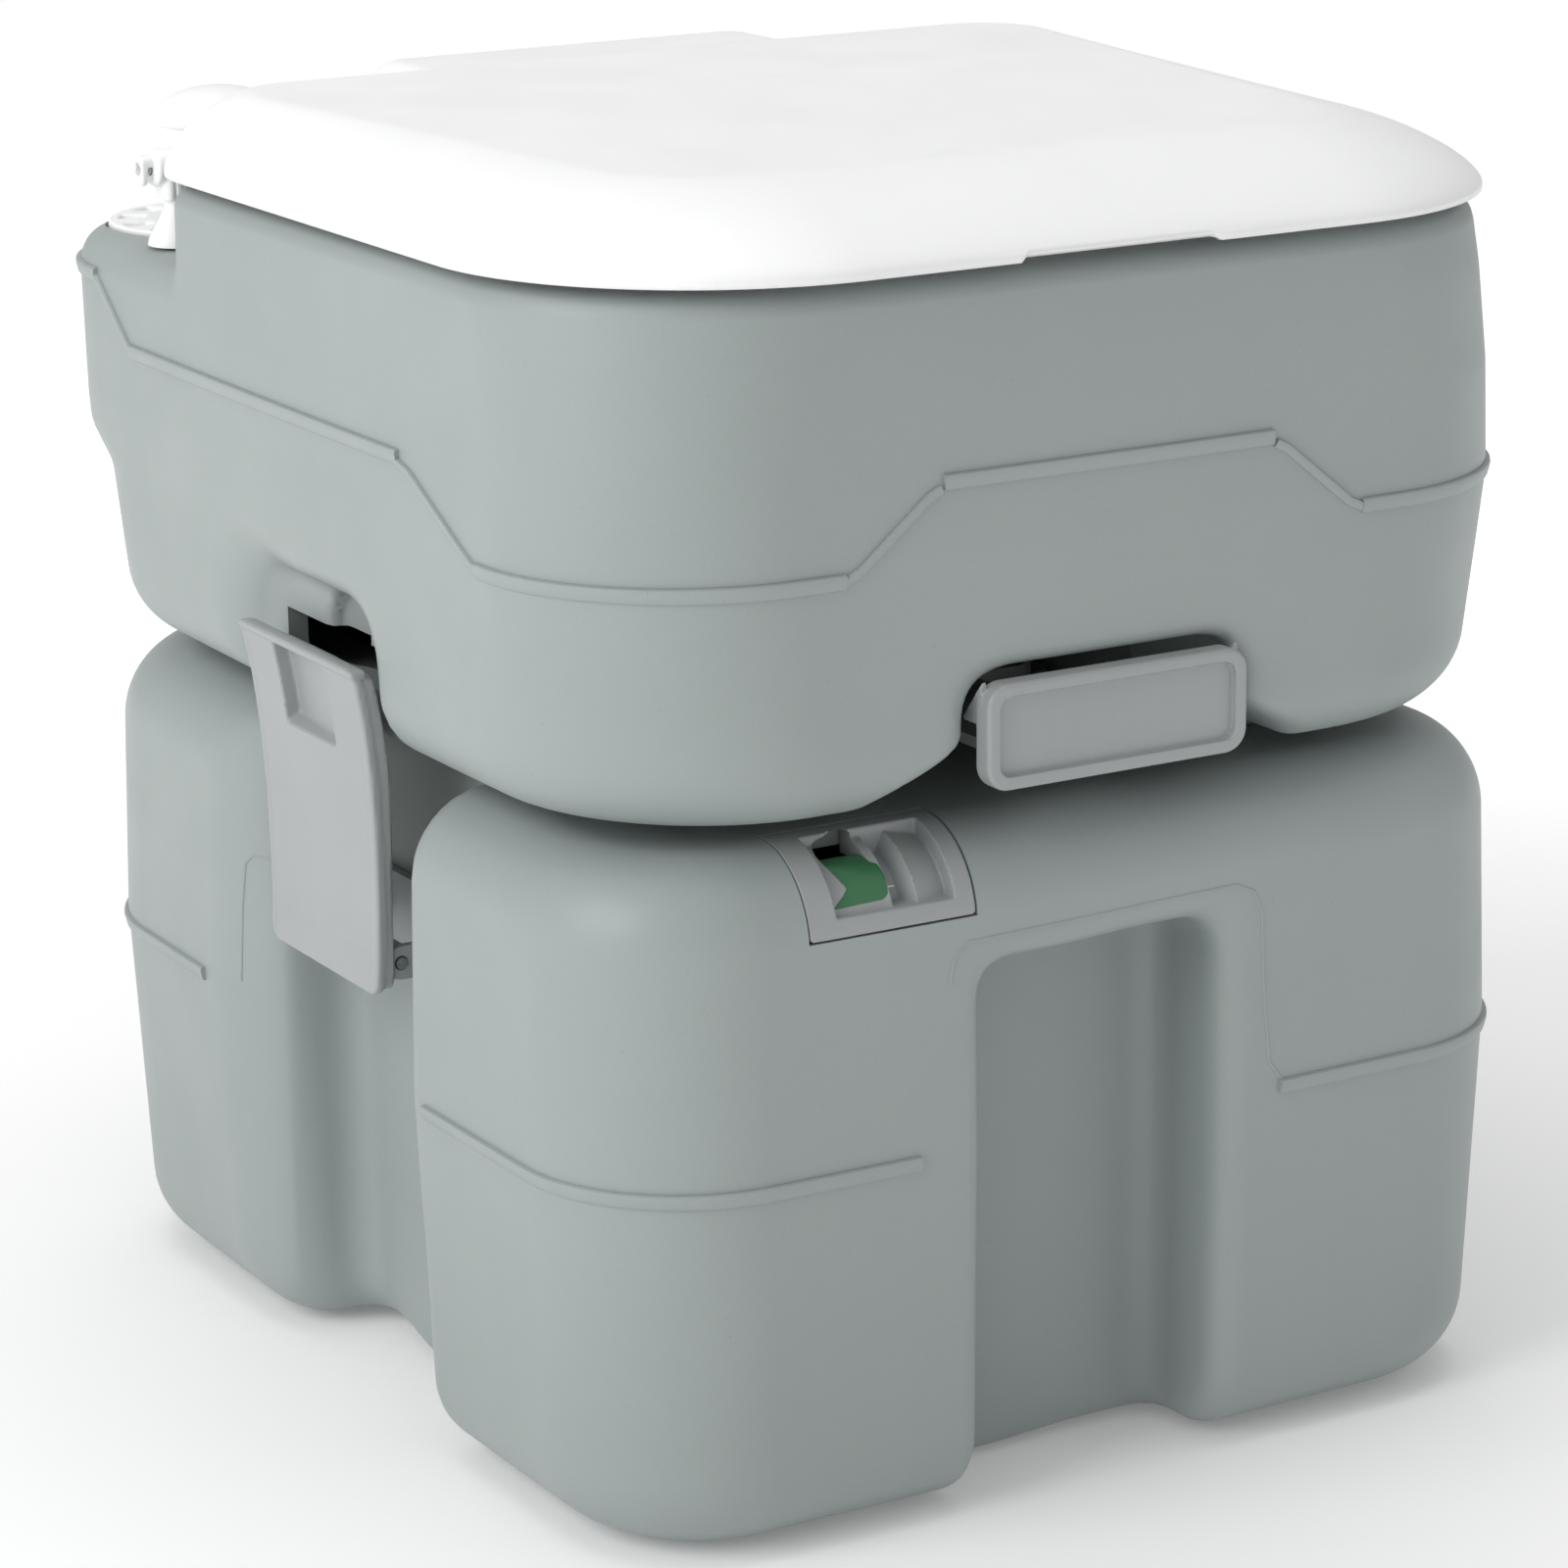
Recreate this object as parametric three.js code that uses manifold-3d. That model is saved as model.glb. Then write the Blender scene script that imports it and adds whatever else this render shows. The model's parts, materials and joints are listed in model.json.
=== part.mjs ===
// A portable camp toilet: a waste tank with a slide valve, and a fresh-water tank with bowl,
// hand pump, seat and lid that stands on it and is held by two side latches.
// Millimetres, +Z up, -Y the front. The origin is on the floor under the middle of the toilet.
import * as THREE from "three";
import { mergeVertices } from "three/addons/utils/BufferGeometryUtils.js";
import Module from "manifold-3d";

const wasm = await Module();
wasm.setup();

// Driving dimensions.
const GAP = 0.3; // between touching pieces
const WALL = 3.5; // blow-moulded tank wall
const FAR = 500; // reach of a cutter past the object

const WASTE = {
  halfWidth: 175, front: -207, rear: 201, base: 0, top: 222,
  corner: 53, topEdge: 28, baseEdge: 25,
};
const FRESH = {
  halfWidth: 177.5, front: -207, rear: 210, base: 229, top: 392,
  corner: 58, topEdge: 8, baseEdge: 22,
};
const RIB = { height: 4.5, proud: 2 };
const WASTE_RIB_Z = 119;
const FRESH_RIB_Z = 350;
const FRESH_RIB_LOW_Z = 303;

const FRONT_RECESS = { halfWidth: 48, depth: 40, top: 180 };
const SIDE_RECESS = { front: -71, rear: 42, depth: 38 };
const SPOUT_RECESS = { halfWidth: 100, front: 150, floor: 166 };

const DECK = { wallY: 87, z: 364 };
const REAR_STEP = { y: 192, z: 292 };
const LATCH_RECESS = { front: -60, rear: 42, depth: 12, top: 278 };
const KEEPER_SLOT = { front: -48, rear: 26, depth: 12, base: 247, top: 260 };
const HANDLE_NOTCH = { halfWidth: 51, flare: 74, top: 271, rear: -120 };
const VALVE_POCKET = { halfWidth: 71, front: -140, rear: 62, top: 272 };
const PLINTH = { halfWidth: 130, front: -150, rear: 108, base: WASTE.top + GAP };

const OUTLET = { y: -20, radius: 39.5 };
const BOWL = { rimY: -58, rimZ: 391, throatZ: 262, stretch: 0.18, wall: 3, outletZ: 247 };

const HINGE = { y: 118, z: 391, postX: 157, pinRadius: 2, knuckle: 6.5 };
const LID = {
  halfWidth: 179.5, front: -212, rear: 116, base: 394, spring: 395.5, top: 420,
  frontCorner: 92, rearCorner: 50, frontShoulder: 62, rearShoulder: 24, fall: 3, bulge: 1.5,
};
const LID_TONGUE = { left: -80, right: 76, rear: 143, top: 418, edge: 8 };
const LID_WALL = 3;
const SEAT = { halfWidth: 156, front: -186, rear: 93, base: 394.8, top: 407, corner: 72 };

const PUMP = { x: -122, y: 161, barrel: 27.5, bore: 24.5, collar: 39, knob: 22 };
const FILL = { x: 122, y: 161, cap: 36, plug: 27.5, hole: 29 };

const VALVE = {
  halfWidth: 58, front: -82, rear: 44, base: 224.6, top: 243,
  bladeBase: 234, bladeTop: 237.5, bore: 39,
};
const HANDLE = { halfWidth: 47, base: 235, top: 268, front: -212, back: -208 };

const SPOUT = { x: 70, y: 175, z: 190, radius: 16, bore: 12.5, tip: -63 };
const LATCH = {
  pivotX: -166, pivotZ: 160, front: -57, rear: 27, base: 150, top: 258, barrelInset: 8,
};
const GAUGE = { left: -105, right: -47, base: 196, rear: -174, axisY: -187, axisZ: 202 };
const RELIEF = { x: -115, y: 140 };

// Colours and finishes.
const finish = (color, roughness, metalness = 0) => ({ color, roughness, metalness });
const GREY = finish(0xa7b2b1, 0.5);
const TRIM_GREY = finish(0xadb1b2, 0.45);
const WHITE = finish(0xf4f5f6, 0.4);
const GREEN = finish(0x356b47, 0.35);
const RUBBER = finish(0x2b2c2e, 0.8);
const STEEL = finish(0xb9bcc0, 0.3, 1);
const FOAM = finish(0xe7e2d4, 0.8);
const CLEAR = finish(0xdfe8e6, 0.25);

// Geometry to solid and back.
function solidFrom(geometry) {
  const bare = geometry.clone();
  bare.deleteAttribute("normal");
  bare.deleteAttribute("uv");
  const merged = mergeVertices(bare, 1e-3);
  const vertProperties = merged.attributes.position.array;
  const triVerts = new Uint32Array(merged.index.array);
  const made = new wasm.Manifold(new wasm.Mesh({ numProp: 3, vertProperties, triVerts }));
  if (made.volume() >= 0) return made;
  for (let i = 0; i < triVerts.length; i += 3) {
    [triVerts[i + 1], triVerts[i + 2]] = [triVerts[i + 2], triVerts[i + 1]];
  }
  return new wasm.Manifold(new wasm.Mesh({ numProp: 3, vertProperties, triVerts }));
}

function geometryFrom(manifold) {
  const mesh = manifold.getMesh();
  const geometry = new THREE.BufferGeometry();
  const places = new Float32Array(mesh.numVert * 3);
  for (let i = 0; i < mesh.numVert; i += 1) {
    const from = i * mesh.numProp;
    places.set(mesh.vertProperties.subarray(from, from + 3), i * 3);
  }
  geometry.setAttribute("position", new THREE.BufferAttribute(places, 3));
  geometry.setIndex(new THREE.BufferAttribute(mesh.triVerts, 1));
  geometry.computeVertexNormals();
  return geometry;
}

const join = (...parts) => parts.reduce((all, part) => all.add(part));
const cut = (body, ...tools) => tools.reduce((left, tool) => left.subtract(tool), body);
const mirrored = (body) => solidFrom(geometryFrom(body).scale(-1, 1, 1));

function box(x0, x1, y0, y1, z0, z1) {
  const geometry = new THREE.BoxGeometry(x1 - x0, y1 - y0, z1 - z0);
  return solidFrom(geometry.translate((x0 + x1) / 2, (y0 + y1) / 2, (z0 + z1) / 2));
}

// A round bar from one end to the other along "x", "y" or "z"; a and b are its other two coordinates.
function bar(axis, a, b, from, to, radius, sides = 12) {
  const geometry = new THREE.CylinderGeometry(radius, radius, to - from, sides);
  const middle = (from + to) / 2;
  if (axis === "x") geometry.rotateZ(Math.PI / 2).translate(middle, a, b);
  if (axis === "y") geometry.translate(a, middle, b);
  if (axis === "z") geometry.rotateX(Math.PI / 2).translate(a, b, middle);
  return solidFrom(geometry);
}

const tube = (axis, a, b, from, to, outer, inner, sides = 14) =>
  cut(bar(axis, a, b, from, to, outer, sides), bar(axis, a, b, from - 1, to + 1, inner, sides));

// A turned piece about the vertical through (x, y). The profile is [radius, z] pairs.
function turned(profile, x, y, sides = 16) {
  const points = profile.map(([radius, z]) => new THREE.Vector2(radius, z));
  const geometry = new THREE.LatheGeometry([...points, points[0].clone()], sides);
  return solidFrom(geometry.rotateX(Math.PI / 2).translate(x, y, 0));
}

function roundedOutline(x0, x1, y0, y1, radius) {
  const shape = new THREE.Shape();
  shape.moveTo(x1 - radius, y0);
  shape.absarc(x1 - radius, y0 + radius, radius, -Math.PI / 2, 0);
  shape.absarc(x1 - radius, y1 - radius, radius, 0, Math.PI / 2);
  shape.absarc(x0 + radius, y1 - radius, radius, Math.PI / 2, Math.PI);
  shape.absarc(x0 + radius, y0 + radius, radius, Math.PI, 1.5 * Math.PI);
  return shape;
}

// An upright prism with rounded corners, and with both ends rounded over by across and rise.
function prism(x0, x1, y0, y1, z0, z1, corner, across = 0, rise = across, segments = 2) {
  const geometry = new THREE.ExtrudeGeometry(roundedOutline(x0, x1, y0, y1, corner), {
    depth: z1 - z0 - 2 * rise,
    curveSegments: segments,
    bevelEnabled: rise > 0,
    bevelSize: across,
    bevelThickness: rise,
    bevelOffset: -across,
    bevelSegments: segments,
  });
  return solidFrom(geometry.translate(0, 0, z0 + rise));
}

// A tank's outer block with its own radius at the top and at the base, shrunk by inset.
function tankBlock(tank, inset) {
  const [x, corner] = [tank.halfWidth - inset, tank.corner - inset];
  const [y0, y1] = [tank.front + inset, tank.rear - inset];
  const [z0, z1] = [tank.base + inset, tank.top - inset];
  const [topEdge, baseEdge] = [tank.topEdge - inset, tank.baseEdge - inset];
  const segments = inset > 0 ? 1 : 2;
  const roundedBy = (low, high, edge) =>
    prism(-x, x, y0, y1, low, high, corner, edge, edge, segments);
  const roundTop = roundedBy(z0 - 2 * topEdge, z1, topEdge);
  const roundBase = roundedBy(z0, z1 + 2 * baseEdge, baseEdge);
  return roundTop.intersect(roundBase);
}

// The raised parting rib of a tank, a band round its outline at height z.
function ribBand(tank, z, y0, y1) {
  const [x, height] = [tank.halfWidth + RIB.proud, RIB.height];
  const corner = tank.corner + RIB.proud;
  const outer = prism(-x, x, tank.front - RIB.proud, tank.rear + RIB.proud, z, z + height, corner);
  return outer.intersect(box(-FAR, FAR, y0, y1, 0, FAR));
}

// An outline in the plane across "x" or "y", pushed from one coordinate to the other along that axis.
function plate(axis, outline, from, to) {
  const shape = new THREE.Shape(outline.map(([a, b]) => new THREE.Vector2(a, b)));
  const geometry = new THREE.ExtrudeGeometry(shape, { depth: to - from, bevelEnabled: false });
  if (axis === "x") geometry.rotateX(Math.PI / 2).rotateZ(Math.PI / 2).translate(from, 0, 0);
  if (axis === "y") geometry.rotateX(Math.PI / 2).translate(0, to, 0);
  return solidFrom(geometry);
}

// Recess cutters. grow widens each one, for the tank wall behind it.
const frontRecess = (grow) =>
  prism(
    -FRONT_RECESS.halfWidth - grow, FRONT_RECESS.halfWidth + grow,
    -FAR, WASTE.front + FRONT_RECESS.depth + grow, -FAR, FRONT_RECESS.top + grow, 10 + grow,
  );

const sideRecess = (grow) =>
  prism(
    -FAR, SIDE_RECESS.depth - WASTE.halfWidth + grow,
    SIDE_RECESS.front - grow, SIDE_RECESS.rear + grow, -FAR, FAR, 6 + grow,
  );

const spoutRecess = (grow) =>
  prism(
    -SPOUT_RECESS.halfWidth - grow, SPOUT_RECESS.halfWidth + grow,
    SPOUT_RECESS.front - grow, FAR, SPOUT_RECESS.floor - grow, FAR, 14 + grow,
  );

const latchRecess = (grow) =>
  prism(
    -FAR, LATCH_RECESS.depth - FRESH.halfWidth + grow,
    LATCH_RECESS.front - grow, LATCH_RECESS.rear + grow, 0, LATCH_RECESS.top + grow, 6 + grow,
  );

const valvePocket = (grow) =>
  prism(
    -VALVE_POCKET.halfWidth - grow, VALVE_POCKET.halfWidth + grow,
    VALVE_POCKET.front - grow, VALVE_POCKET.rear + grow, 0, VALVE_POCKET.top + grow, 10 + grow,
  );

function handleNotch(grow) {
  const { halfWidth, flare, top, rear } = HANDLE_NOTCH;
  const outline = [
    [-flare - grow, 0], [flare + grow, 0], [flare + grow, FRESH.base + 4],
    [halfWidth + 6 + grow, 246], [halfWidth + grow, top - 8], [halfWidth - 8 + grow, top + grow],
    [8 - halfWidth - grow, top + grow], [-halfWidth - grow, top - 8],
    [-halfWidth - 6 - grow, 246], [-flare - grow, FRESH.base + 4],
  ];
  return plate("y", outline, -FAR, rear + grow);
}

// The bowl's surface of revolution, stretched and moved forward towards the rim.
const BOWL_PROFILE = [
  [100, BOWL.rimZ], [98, 370], [86, 332], [62, 296], [46, 274],
  [OUTLET.radius, BOWL.throatZ], [OUTLET.radius, BOWL.outletZ],
];

function bowlForm(profile, sides = 20) {
  const points = profile.map(([radius, z]) => new THREE.Vector2(radius, z));
  const geometry = new THREE.LatheGeometry(points, sides).rotateX(Math.PI / 2);
  const place = geometry.attributes.position;
  for (let i = 0; i < place.count; i += 1) {
    const share = (place.getZ(i) - BOWL.throatZ) / (BOWL.rimZ - BOWL.throatZ);
    const up = THREE.MathUtils.clamp(share, 0, 1);
    const middle = THREE.MathUtils.lerp(OUTLET.y, BOWL.rimY, up);
    place.setY(i, place.getY(i) * (1 + BOWL.stretch * up) + middle);
  }
  return solidFrom(geometry);
}

// A plug with the bowl's form grown outwards, closed on its axis.
function bowlPlug(grow, top) {
  const side = BOWL_PROFILE.map(([radius, z]) => [radius + grow, z]);
  const [rim, foot] = [side[0][0], side[side.length - 1][0]];
  return bowlForm([[0, top], [rim, top], ...side, [foot, 200], [0, 200]]);
}

// Waste tank.
function wasteTank() {
  const recesses = (grow) => [
    frontRecess(grow), sideRecess(grow), mirrored(sideRecess(grow)), spoutRecess(grow),
  ];
  const cavity = cut(tankBlock(WASTE, WALL), ...recesses(WALL));
  const rib = ribBand(WASTE, WASTE_RIB_Z, -FAR, FAR);
  const gaugeHole = box(
    GAUGE.left, GAUGE.right, -FAR, GAUGE.rear, GAUGE.base, FAR,
  );
  const ribEnds = box(-66, 64, -FAR, -160, 0, 200);
  const sideRibEnds = box(-FAR, FAR, SIDE_RECESS.front - 4, SIDE_RECESS.rear + 36, 0, 200);
  const holes = [
    bar("z", 0, OUTLET.y, 200, 240, 45, 24),
    bar("z", SPOUT.x, SPOUT.y, 140, 180, 14.4, 16),
    bar("z", RELIEF.x, RELIEF.y, 200, 240, 7.4),
    ...valveScrewPlaces().map(([x, y]) => bar("z", x, y, 200, 240, 2.3, 12)),
    ...[-1, 1].flatMap((side) => latchScrewPlaces(side).map((p) => latchScrewHole(side, ...p))),
  ];
  const shell = join(tankBlock(WASTE, 0), cut(rib, ribEnds, sideRibEnds));
  return cut(shell, ...recesses(0), cavity, gaugeHole, ...holes);
}

// Slide valve on the waste tank's top.
const valveScrewPlaces = () => [-1, 1].flatMap((side) => [[side * 62.5, -60], [side * 62.5, 22]]);

function valveHousing() {
  const { halfWidth, front, rear, base, top, bore } = VALVE;
  const body = prism(-halfWidth, halfWidth, front, rear, base, top, 12);
  const flange = prism(-67.5, 67.5, front + 8, rear - 8, base, base + 3.4, 8);
  const channel = box(-51, 51, front - 1, 40, VALVE.bladeBase - GAP, VALVE.bladeTop + GAP);
  const screws = valveScrewPlaces().map(([x, y]) => bar("z", x, y, base - 1, top, 2.3, 12));
  const throat = bar("z", 0, OUTLET.y, base - 1, top + 1, bore, 24);
  return cut(join(body, flange), channel, throat, ...screws);
}

const valveGasket = () =>
  tube("z", 0, OUTLET.y, WASTE.top + GAP, VALVE.base - GAP, 53, 45, 24);

const lipSeal = () =>
  turned([[39, 243.3], [48, 243.3], [46, 246.6], [41, 246.6]], 0, OUTLET.y, 24);

const handlePinHole = () => bar("z", 0, -196, 200, 260, 2.3);

function valveBlade() {
  const { bladeBase, bladeTop } = VALVE;
  const leaf = prism(-50, 50, -76, 38, bladeBase, bladeTop, 14);
  const stem = box(-20, 20, HANDLE.back + GAP, -70, bladeBase, bladeTop);
  return cut(join(leaf, stem), handlePinHole());
}

function valveHandle() {
  const { halfWidth, base, top, front, back } = HANDLE;
  const outline = roundedOutline(-halfWidth, halfWidth, base, top, 7);
  const face = new THREE.ExtrudeGeometry(outline, {
    depth: back - front, bevelEnabled: false, curveSegments: 3,
  });
  const slab = solidFrom(face.rotateX(Math.PI / 2).translate(0, back, 0));
  const panel = box(4 - halfWidth, halfWidth - 4, front - 1, front + 1.2, base + 4, top - 4);
  const socket = box(-25, 25, back - 1, -186, VALVE.bladeBase, VALVE.bladeTop + 3);
  const stemHole = box(
    -20 - GAP, 20 + GAP, back, -180, VALVE.bladeBase - 1, VALVE.bladeTop + GAP,
  );
  return cut(join(slab, socket), panel, stemHole, handlePinHole());
}

function screw(x, y, under, length) {
  const head = bar("z", x, y, under, under + 2, 4, 16);
  return join(head, bar("z", x, y, under - length, under + 1, 1.9, 10));
}

// Level gauge at the front of the waste tank.
const edgeArc = { y: WASTE.front + WASTE.topEdge, z: WASTE.top - WASTE.topEdge };

function edgeSector(radius, from, to) {
  const shape = new THREE.Shape();
  shape.moveTo(edgeArc.y, edgeArc.z);
  shape.absarc(edgeArc.y, edgeArc.z, radius, Math.PI / 2, Math.PI);
  const geometry = new THREE.ExtrudeGeometry(shape, {
    depth: to - from, bevelEnabled: false, curveSegments: 5,
  });
  return solidFrom(geometry.rotateX(Math.PI / 2).rotateZ(Math.PI / 2).translate(from, 0, 0));
}

function levelBezel() {
  const [x0, x1] = [GAUGE.left + GAP, GAUGE.right - GAP];
  const cover = cut(
    edgeSector(WASTE.topEdge, x0, x1), edgeSector(WASTE.topEdge - 3.5, x0 - 1, x1 + 1),
    box(-FAR, FAR, -FAR, 0, 0, GAUGE.base + GAP),
  );
  const lip = box(x0, x1, edgeArc.y - 1, GAUGE.rear - GAP, WASTE.top - 3.5, WASTE.top);
  const window = plate("y", [[-84, 203], [-76, 203], [-73, 219], [-94, 219]], -FAR, -185);
  return cut(join(cover, lip), window);
}

function levelDrum() {
  const wheel = bar("x", GAUGE.axisY, GAUGE.axisZ, -98, -72, 12, 20);
  return cut(wheel, bar("x", GAUGE.axisY, GAUGE.axisZ, -99, -71, 3.1, 16));
}

const FLOAT = { y: -128, z: 146, radius: 15 };

function floatArm() {
  const [dy, dz] = [FLOAT.y - GAUGE.axisY, FLOAT.z - GAUGE.axisZ];
  const length = Math.hypot(dy, dz) - FLOAT.radius - GAP;
  const rod = new THREE.BoxGeometry(5, length, 5).translate(0, length / 2, 0);
  rod.rotateX(Math.atan2(dz, dy)).translate(-66, GAUGE.axisY, GAUGE.axisZ);
  const hub = bar("x", GAUGE.axisY, GAUGE.axisZ, -71.7, -62, 7);
  const spindle = bar("x", GAUGE.axisY, GAUGE.axisZ, -98, -63, 2.8, 16);
  return cut(
    join(solidFrom(rod), hub, spindle), bar("x", GAUGE.axisY, GAUGE.axisZ, -120, -40, 1.8, 12),
  );
}

function floatBall() {
  const ball = new THREE.SphereGeometry(FLOAT.radius, 14, 9);
  return solidFrom(ball.translate(-66, FLOAT.y, FLOAT.z));
}

const floatPin = () => bar("x", GAUGE.axisY, GAUGE.axisZ, -103, -55, 1.4, 12);

// Pouring spout at the rear of the waste tank.
function spoutElbow() {
  const { x, y, z, radius, bore, tip } = SPOUT;
  const bend = (r) => solidFrom(new THREE.SphereGeometry(r, 16, 10).translate(x, y, z));
  const outside = join(
    bar("x", y, z, tip, x, radius, 16), bar("z", x, y, 168.1, z, radius, 16), bend(radius),
    bar("z", x, y, 168.1, 170.5, 20, 16), bar("z", x, y, 162, 169, 13.8, 16),
  );
  const inside = [
    bar("x", y, z, tip - 1, x, bore), bar("z", x, y, 150, z, bore - 1), bend(bore),
  ];
  return cut(outside, ...inside);
}

const spoutRing = () => tube("z", SPOUT.x, SPOUT.y, 166.3, 167.8, 19, 14.4, 20);
const spoutCapSeal = () => bar("x", SPOUT.y, SPOUT.z, -65.7, -63.3, 16, 20);

function spoutCap() {
  const { y, z } = SPOUT;
  const grips = Array.from({ length: 8 }, (_, i) => {
    const turn = (i * Math.PI) / 4;
    return bar("x", y + 20 * Math.cos(turn), z + 20 * Math.sin(turn), -72, -49, 2, 8);
  });
  return cut(bar("x", y, z, -70, -50, 19.5, 24), bar("x", y, z, -66, -49, 16.4, 24), ...grips);
}

// Air relief button on the waste tank's top.
function reliefHousing() {
  const profile = [[4.6, 212], [7, 212], [7, 222.3], [11, 222.3], [11, 223.5], [4.6, 223.5]];
  return turned(profile, RELIEF.x, RELIEF.y, 16);
}

const reliefButton = () =>
  join(
    bar("z", RELIEF.x, RELIEF.y, 225.7, 228, 7.5),
    bar("z", RELIEF.x, RELIEF.y, 208, 226, 4, 16),
  );

// Side latch, its bracket and its pin. The left one; the right one is its mirror image.
const latchPinHole = () =>
  bar("y", LATCH.pivotX, LATCH.pivotZ, -100, 100, HINGE.pinRadius + 0.4, 16);

function latchPlate() {
  const { front, rear, base, top, barrelInset, pivotX, pivotZ } = LATCH;
  const bend = new THREE.CatmullRomCurve3([
    new THREE.Vector3(-175.5, base, 0), new THREE.Vector3(-174.6, 178, 0),
    new THREE.Vector3(-175.2, 208, 0), new THREE.Vector3(-177.6, 236, 0),
    new THREE.Vector3(-182.5, top, 0),
  ]);
  const outside = bend.getPoints(14).map((p) => [p.x, p.y]);
  const profile = (depth) => [
    ...outside, ...outside.map(([x, z]) => [Math.min(x + depth, -169), z]).reverse(),
  ];
  const sheet = plate("y", profile(3.2), front, rear);
  const sides = [front, rear - 3].map((y) => plate("y", profile(7), y, y + 3));
  const [y0, y1] = [front + barrelInset, rear - barrelInset];
  const barrel = bar("y", pivotX, pivotZ, y0, y1, 5.5);
  const web = box(pivotX - 8, pivotX, y0, y1, pivotZ - 2.5, pivotZ + 2.5);
  const thumbPan = box(-178, -170, -33, 3, 225, 253);
  const thumbWell = box(-FAR, -173, -30, 0, 228, 252);
  return cut(join(sheet, ...sides, barrel, web, thumbPan), thumbWell, latchPinHole());
}

const latchScrewPlaces = () => [[-40, 160], [10, 160]];

const latchScrewHole = (side, y, z) =>
  bar("x", y, z, Math.min(side * 150, side * 125), Math.max(side * 150, side * 125), 2.3, 12);

function latchBracket() {
  const { pivotX, pivotZ, front, rear, barrelInset } = LATCH;
  const back = SIDE_RECESS.depth - WASTE.halfWidth - GAP;
  const base = box(back - 3, back, front + 2, rear - 2, pivotZ - 12, pivotZ + 12);
  const ear = (y) =>
    join(
      box(pivotX, back - 2, y, y + 3, pivotZ - 5.5, pivotZ + 5.5),
      bar("y", pivotX, pivotZ, y, y + 3, 5.5),
    );
  const ears = [front + barrelInset - 4, rear - barrelInset + 1].map(ear);
  const screwHoles = latchScrewPlaces().map(([y, z]) => latchScrewHole(-1, y, z));
  return cut(join(base, ...ears), latchPinHole(), ...screwHoles);
}

const latchPin = () =>
  bar("y", LATCH.pivotX, LATCH.pivotZ, LATCH.front + 3.5, LATCH.rear - 3.5, HINGE.pinRadius, 16);

function latchScrew(y, z) {
  const back = SIDE_RECESS.depth - WASTE.halfWidth - GAP;
  const head = bar("x", y, z, back - 5.3, back - 3 - GAP, 4, 16);
  return join(head, bar("x", y, z, back - 4, back + 9, 1.9, 10));
}

// Fresh-water tank.
function freshTank() {
  const recesses = (grow) => [
    latchRecess(grow), mirrored(latchRecess(grow)), valvePocket(grow), handleNotch(grow),
    box(-FAR, FAR, DECK.wallY - grow, FAR, DECK.z - grow, FAR),
    box(-FAR, FAR, REAR_STEP.y - grow, FAR, 0, REAR_STEP.z + grow),
  ];
  const bosses = [PUMP, FILL].map(({ x, y }) => bar("z", x, y, 354, 370, 44, 20));
  const cavity = cut(
    tankBlock(FRESH, WALL), ...recesses(WALL), ...bosses, bowlPlug(BOWL.wall + 1 + WALL, FAR),
  );
  const block = join(
    tankBlock(FRESH, 0), ribBand(FRESH, FRESH_RIB_Z, 146, FAR),
    ribBand(FRESH, FRESH_RIB_LOW_Z, -FAR, -140),
    prism(
      -PLINTH.halfWidth, PLINTH.halfWidth, PLINTH.front, PLINTH.rear,
      PLINTH.base, FRESH.base + 4, 20,
    ),
  );
  const slotBack = LATCH_RECESS.depth + KEEPER_SLOT.depth - FRESH.halfWidth;
  const slot = (grow) =>
    box(
      -FAR, slotBack + grow, KEEPER_SLOT.front - grow, KEEPER_SLOT.rear + grow,
      KEEPER_SLOT.base - grow, KEEPER_SLOT.top + grow,
    );
  const holes = [
    bowlPlug(BOWL.wall + 1, FAR),
    bar("z", PUMP.x, PUMP.y, 340, 380, PUMP.barrel + 1, 24),
    bar("z", PUMP.x, PUMP.y, 361, 380, PUMP.collar + 0.6, 28),
    bar("z", FILL.x, FILL.y, 340, 380, FILL.hole, 24),
    bar("y", 0, 370, 40, 76, 6.2),
    ...[-1, 1].map((side) => bar("z", side * HINGE.postX, HINGE.y, 350, 380, 4)),
  ];
  const hollow = cut(cavity, slot(WALL), mirrored(slot(WALL)));
  return cut(block, ...recesses(0), hollow, slot(0), mirrored(slot(0)), ...holes);
}

function bowl() {
  const inside = BOWL_PROFILE;
  const outside = inside.map(([radius, z]) => [radius + BOWL.wall, z]);
  const rimTop = 393.6;
  const profile = [
    [inside[0][0], rimTop], ...inside, ...outside.slice(1).reverse(),
    [inside[0][0] + BOWL.wall, FRESH.top + GAP], [inside[0][0] + 10, FRESH.top + GAP],
    [inside[0][0] + 10, rimTop], [inside[0][0], rimTop],
  ];
  return cut(bowlForm(profile), bar("y", 0, 370, 40, 90, 6.2));
}

const flushNozzle = () =>
  join(
    bar("y", 0, 370, 56, 80, 5.5), bar("z", 0, 77, 358, 370, 3, 16),
    bar("y", 0, 370, 50, 57, 9, 16),
  );

function flushTube() {
  const route = new THREE.CatmullRomCurve3([
    new THREE.Vector3(PUMP.x + PUMP.barrel + 2, PUMP.y, 252),
    new THREE.Vector3(-72, 158, 262), new THREE.Vector3(-50, 146, 300),
    new THREE.Vector3(-24, 112, 328), new THREE.Vector3(-3, 80, 343),
    new THREE.Vector3(0, 77, 350), new THREE.Vector3(0, 77, 357.2),
  ]);
  const section = new THREE.Shape().absarc(0, 0, 4, 0, 2 * Math.PI);
  return solidFrom(
    new THREE.ExtrudeGeometry(section, { extrudePath: route, steps: 18, curveSegments: 3 }),
  );
}

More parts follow.
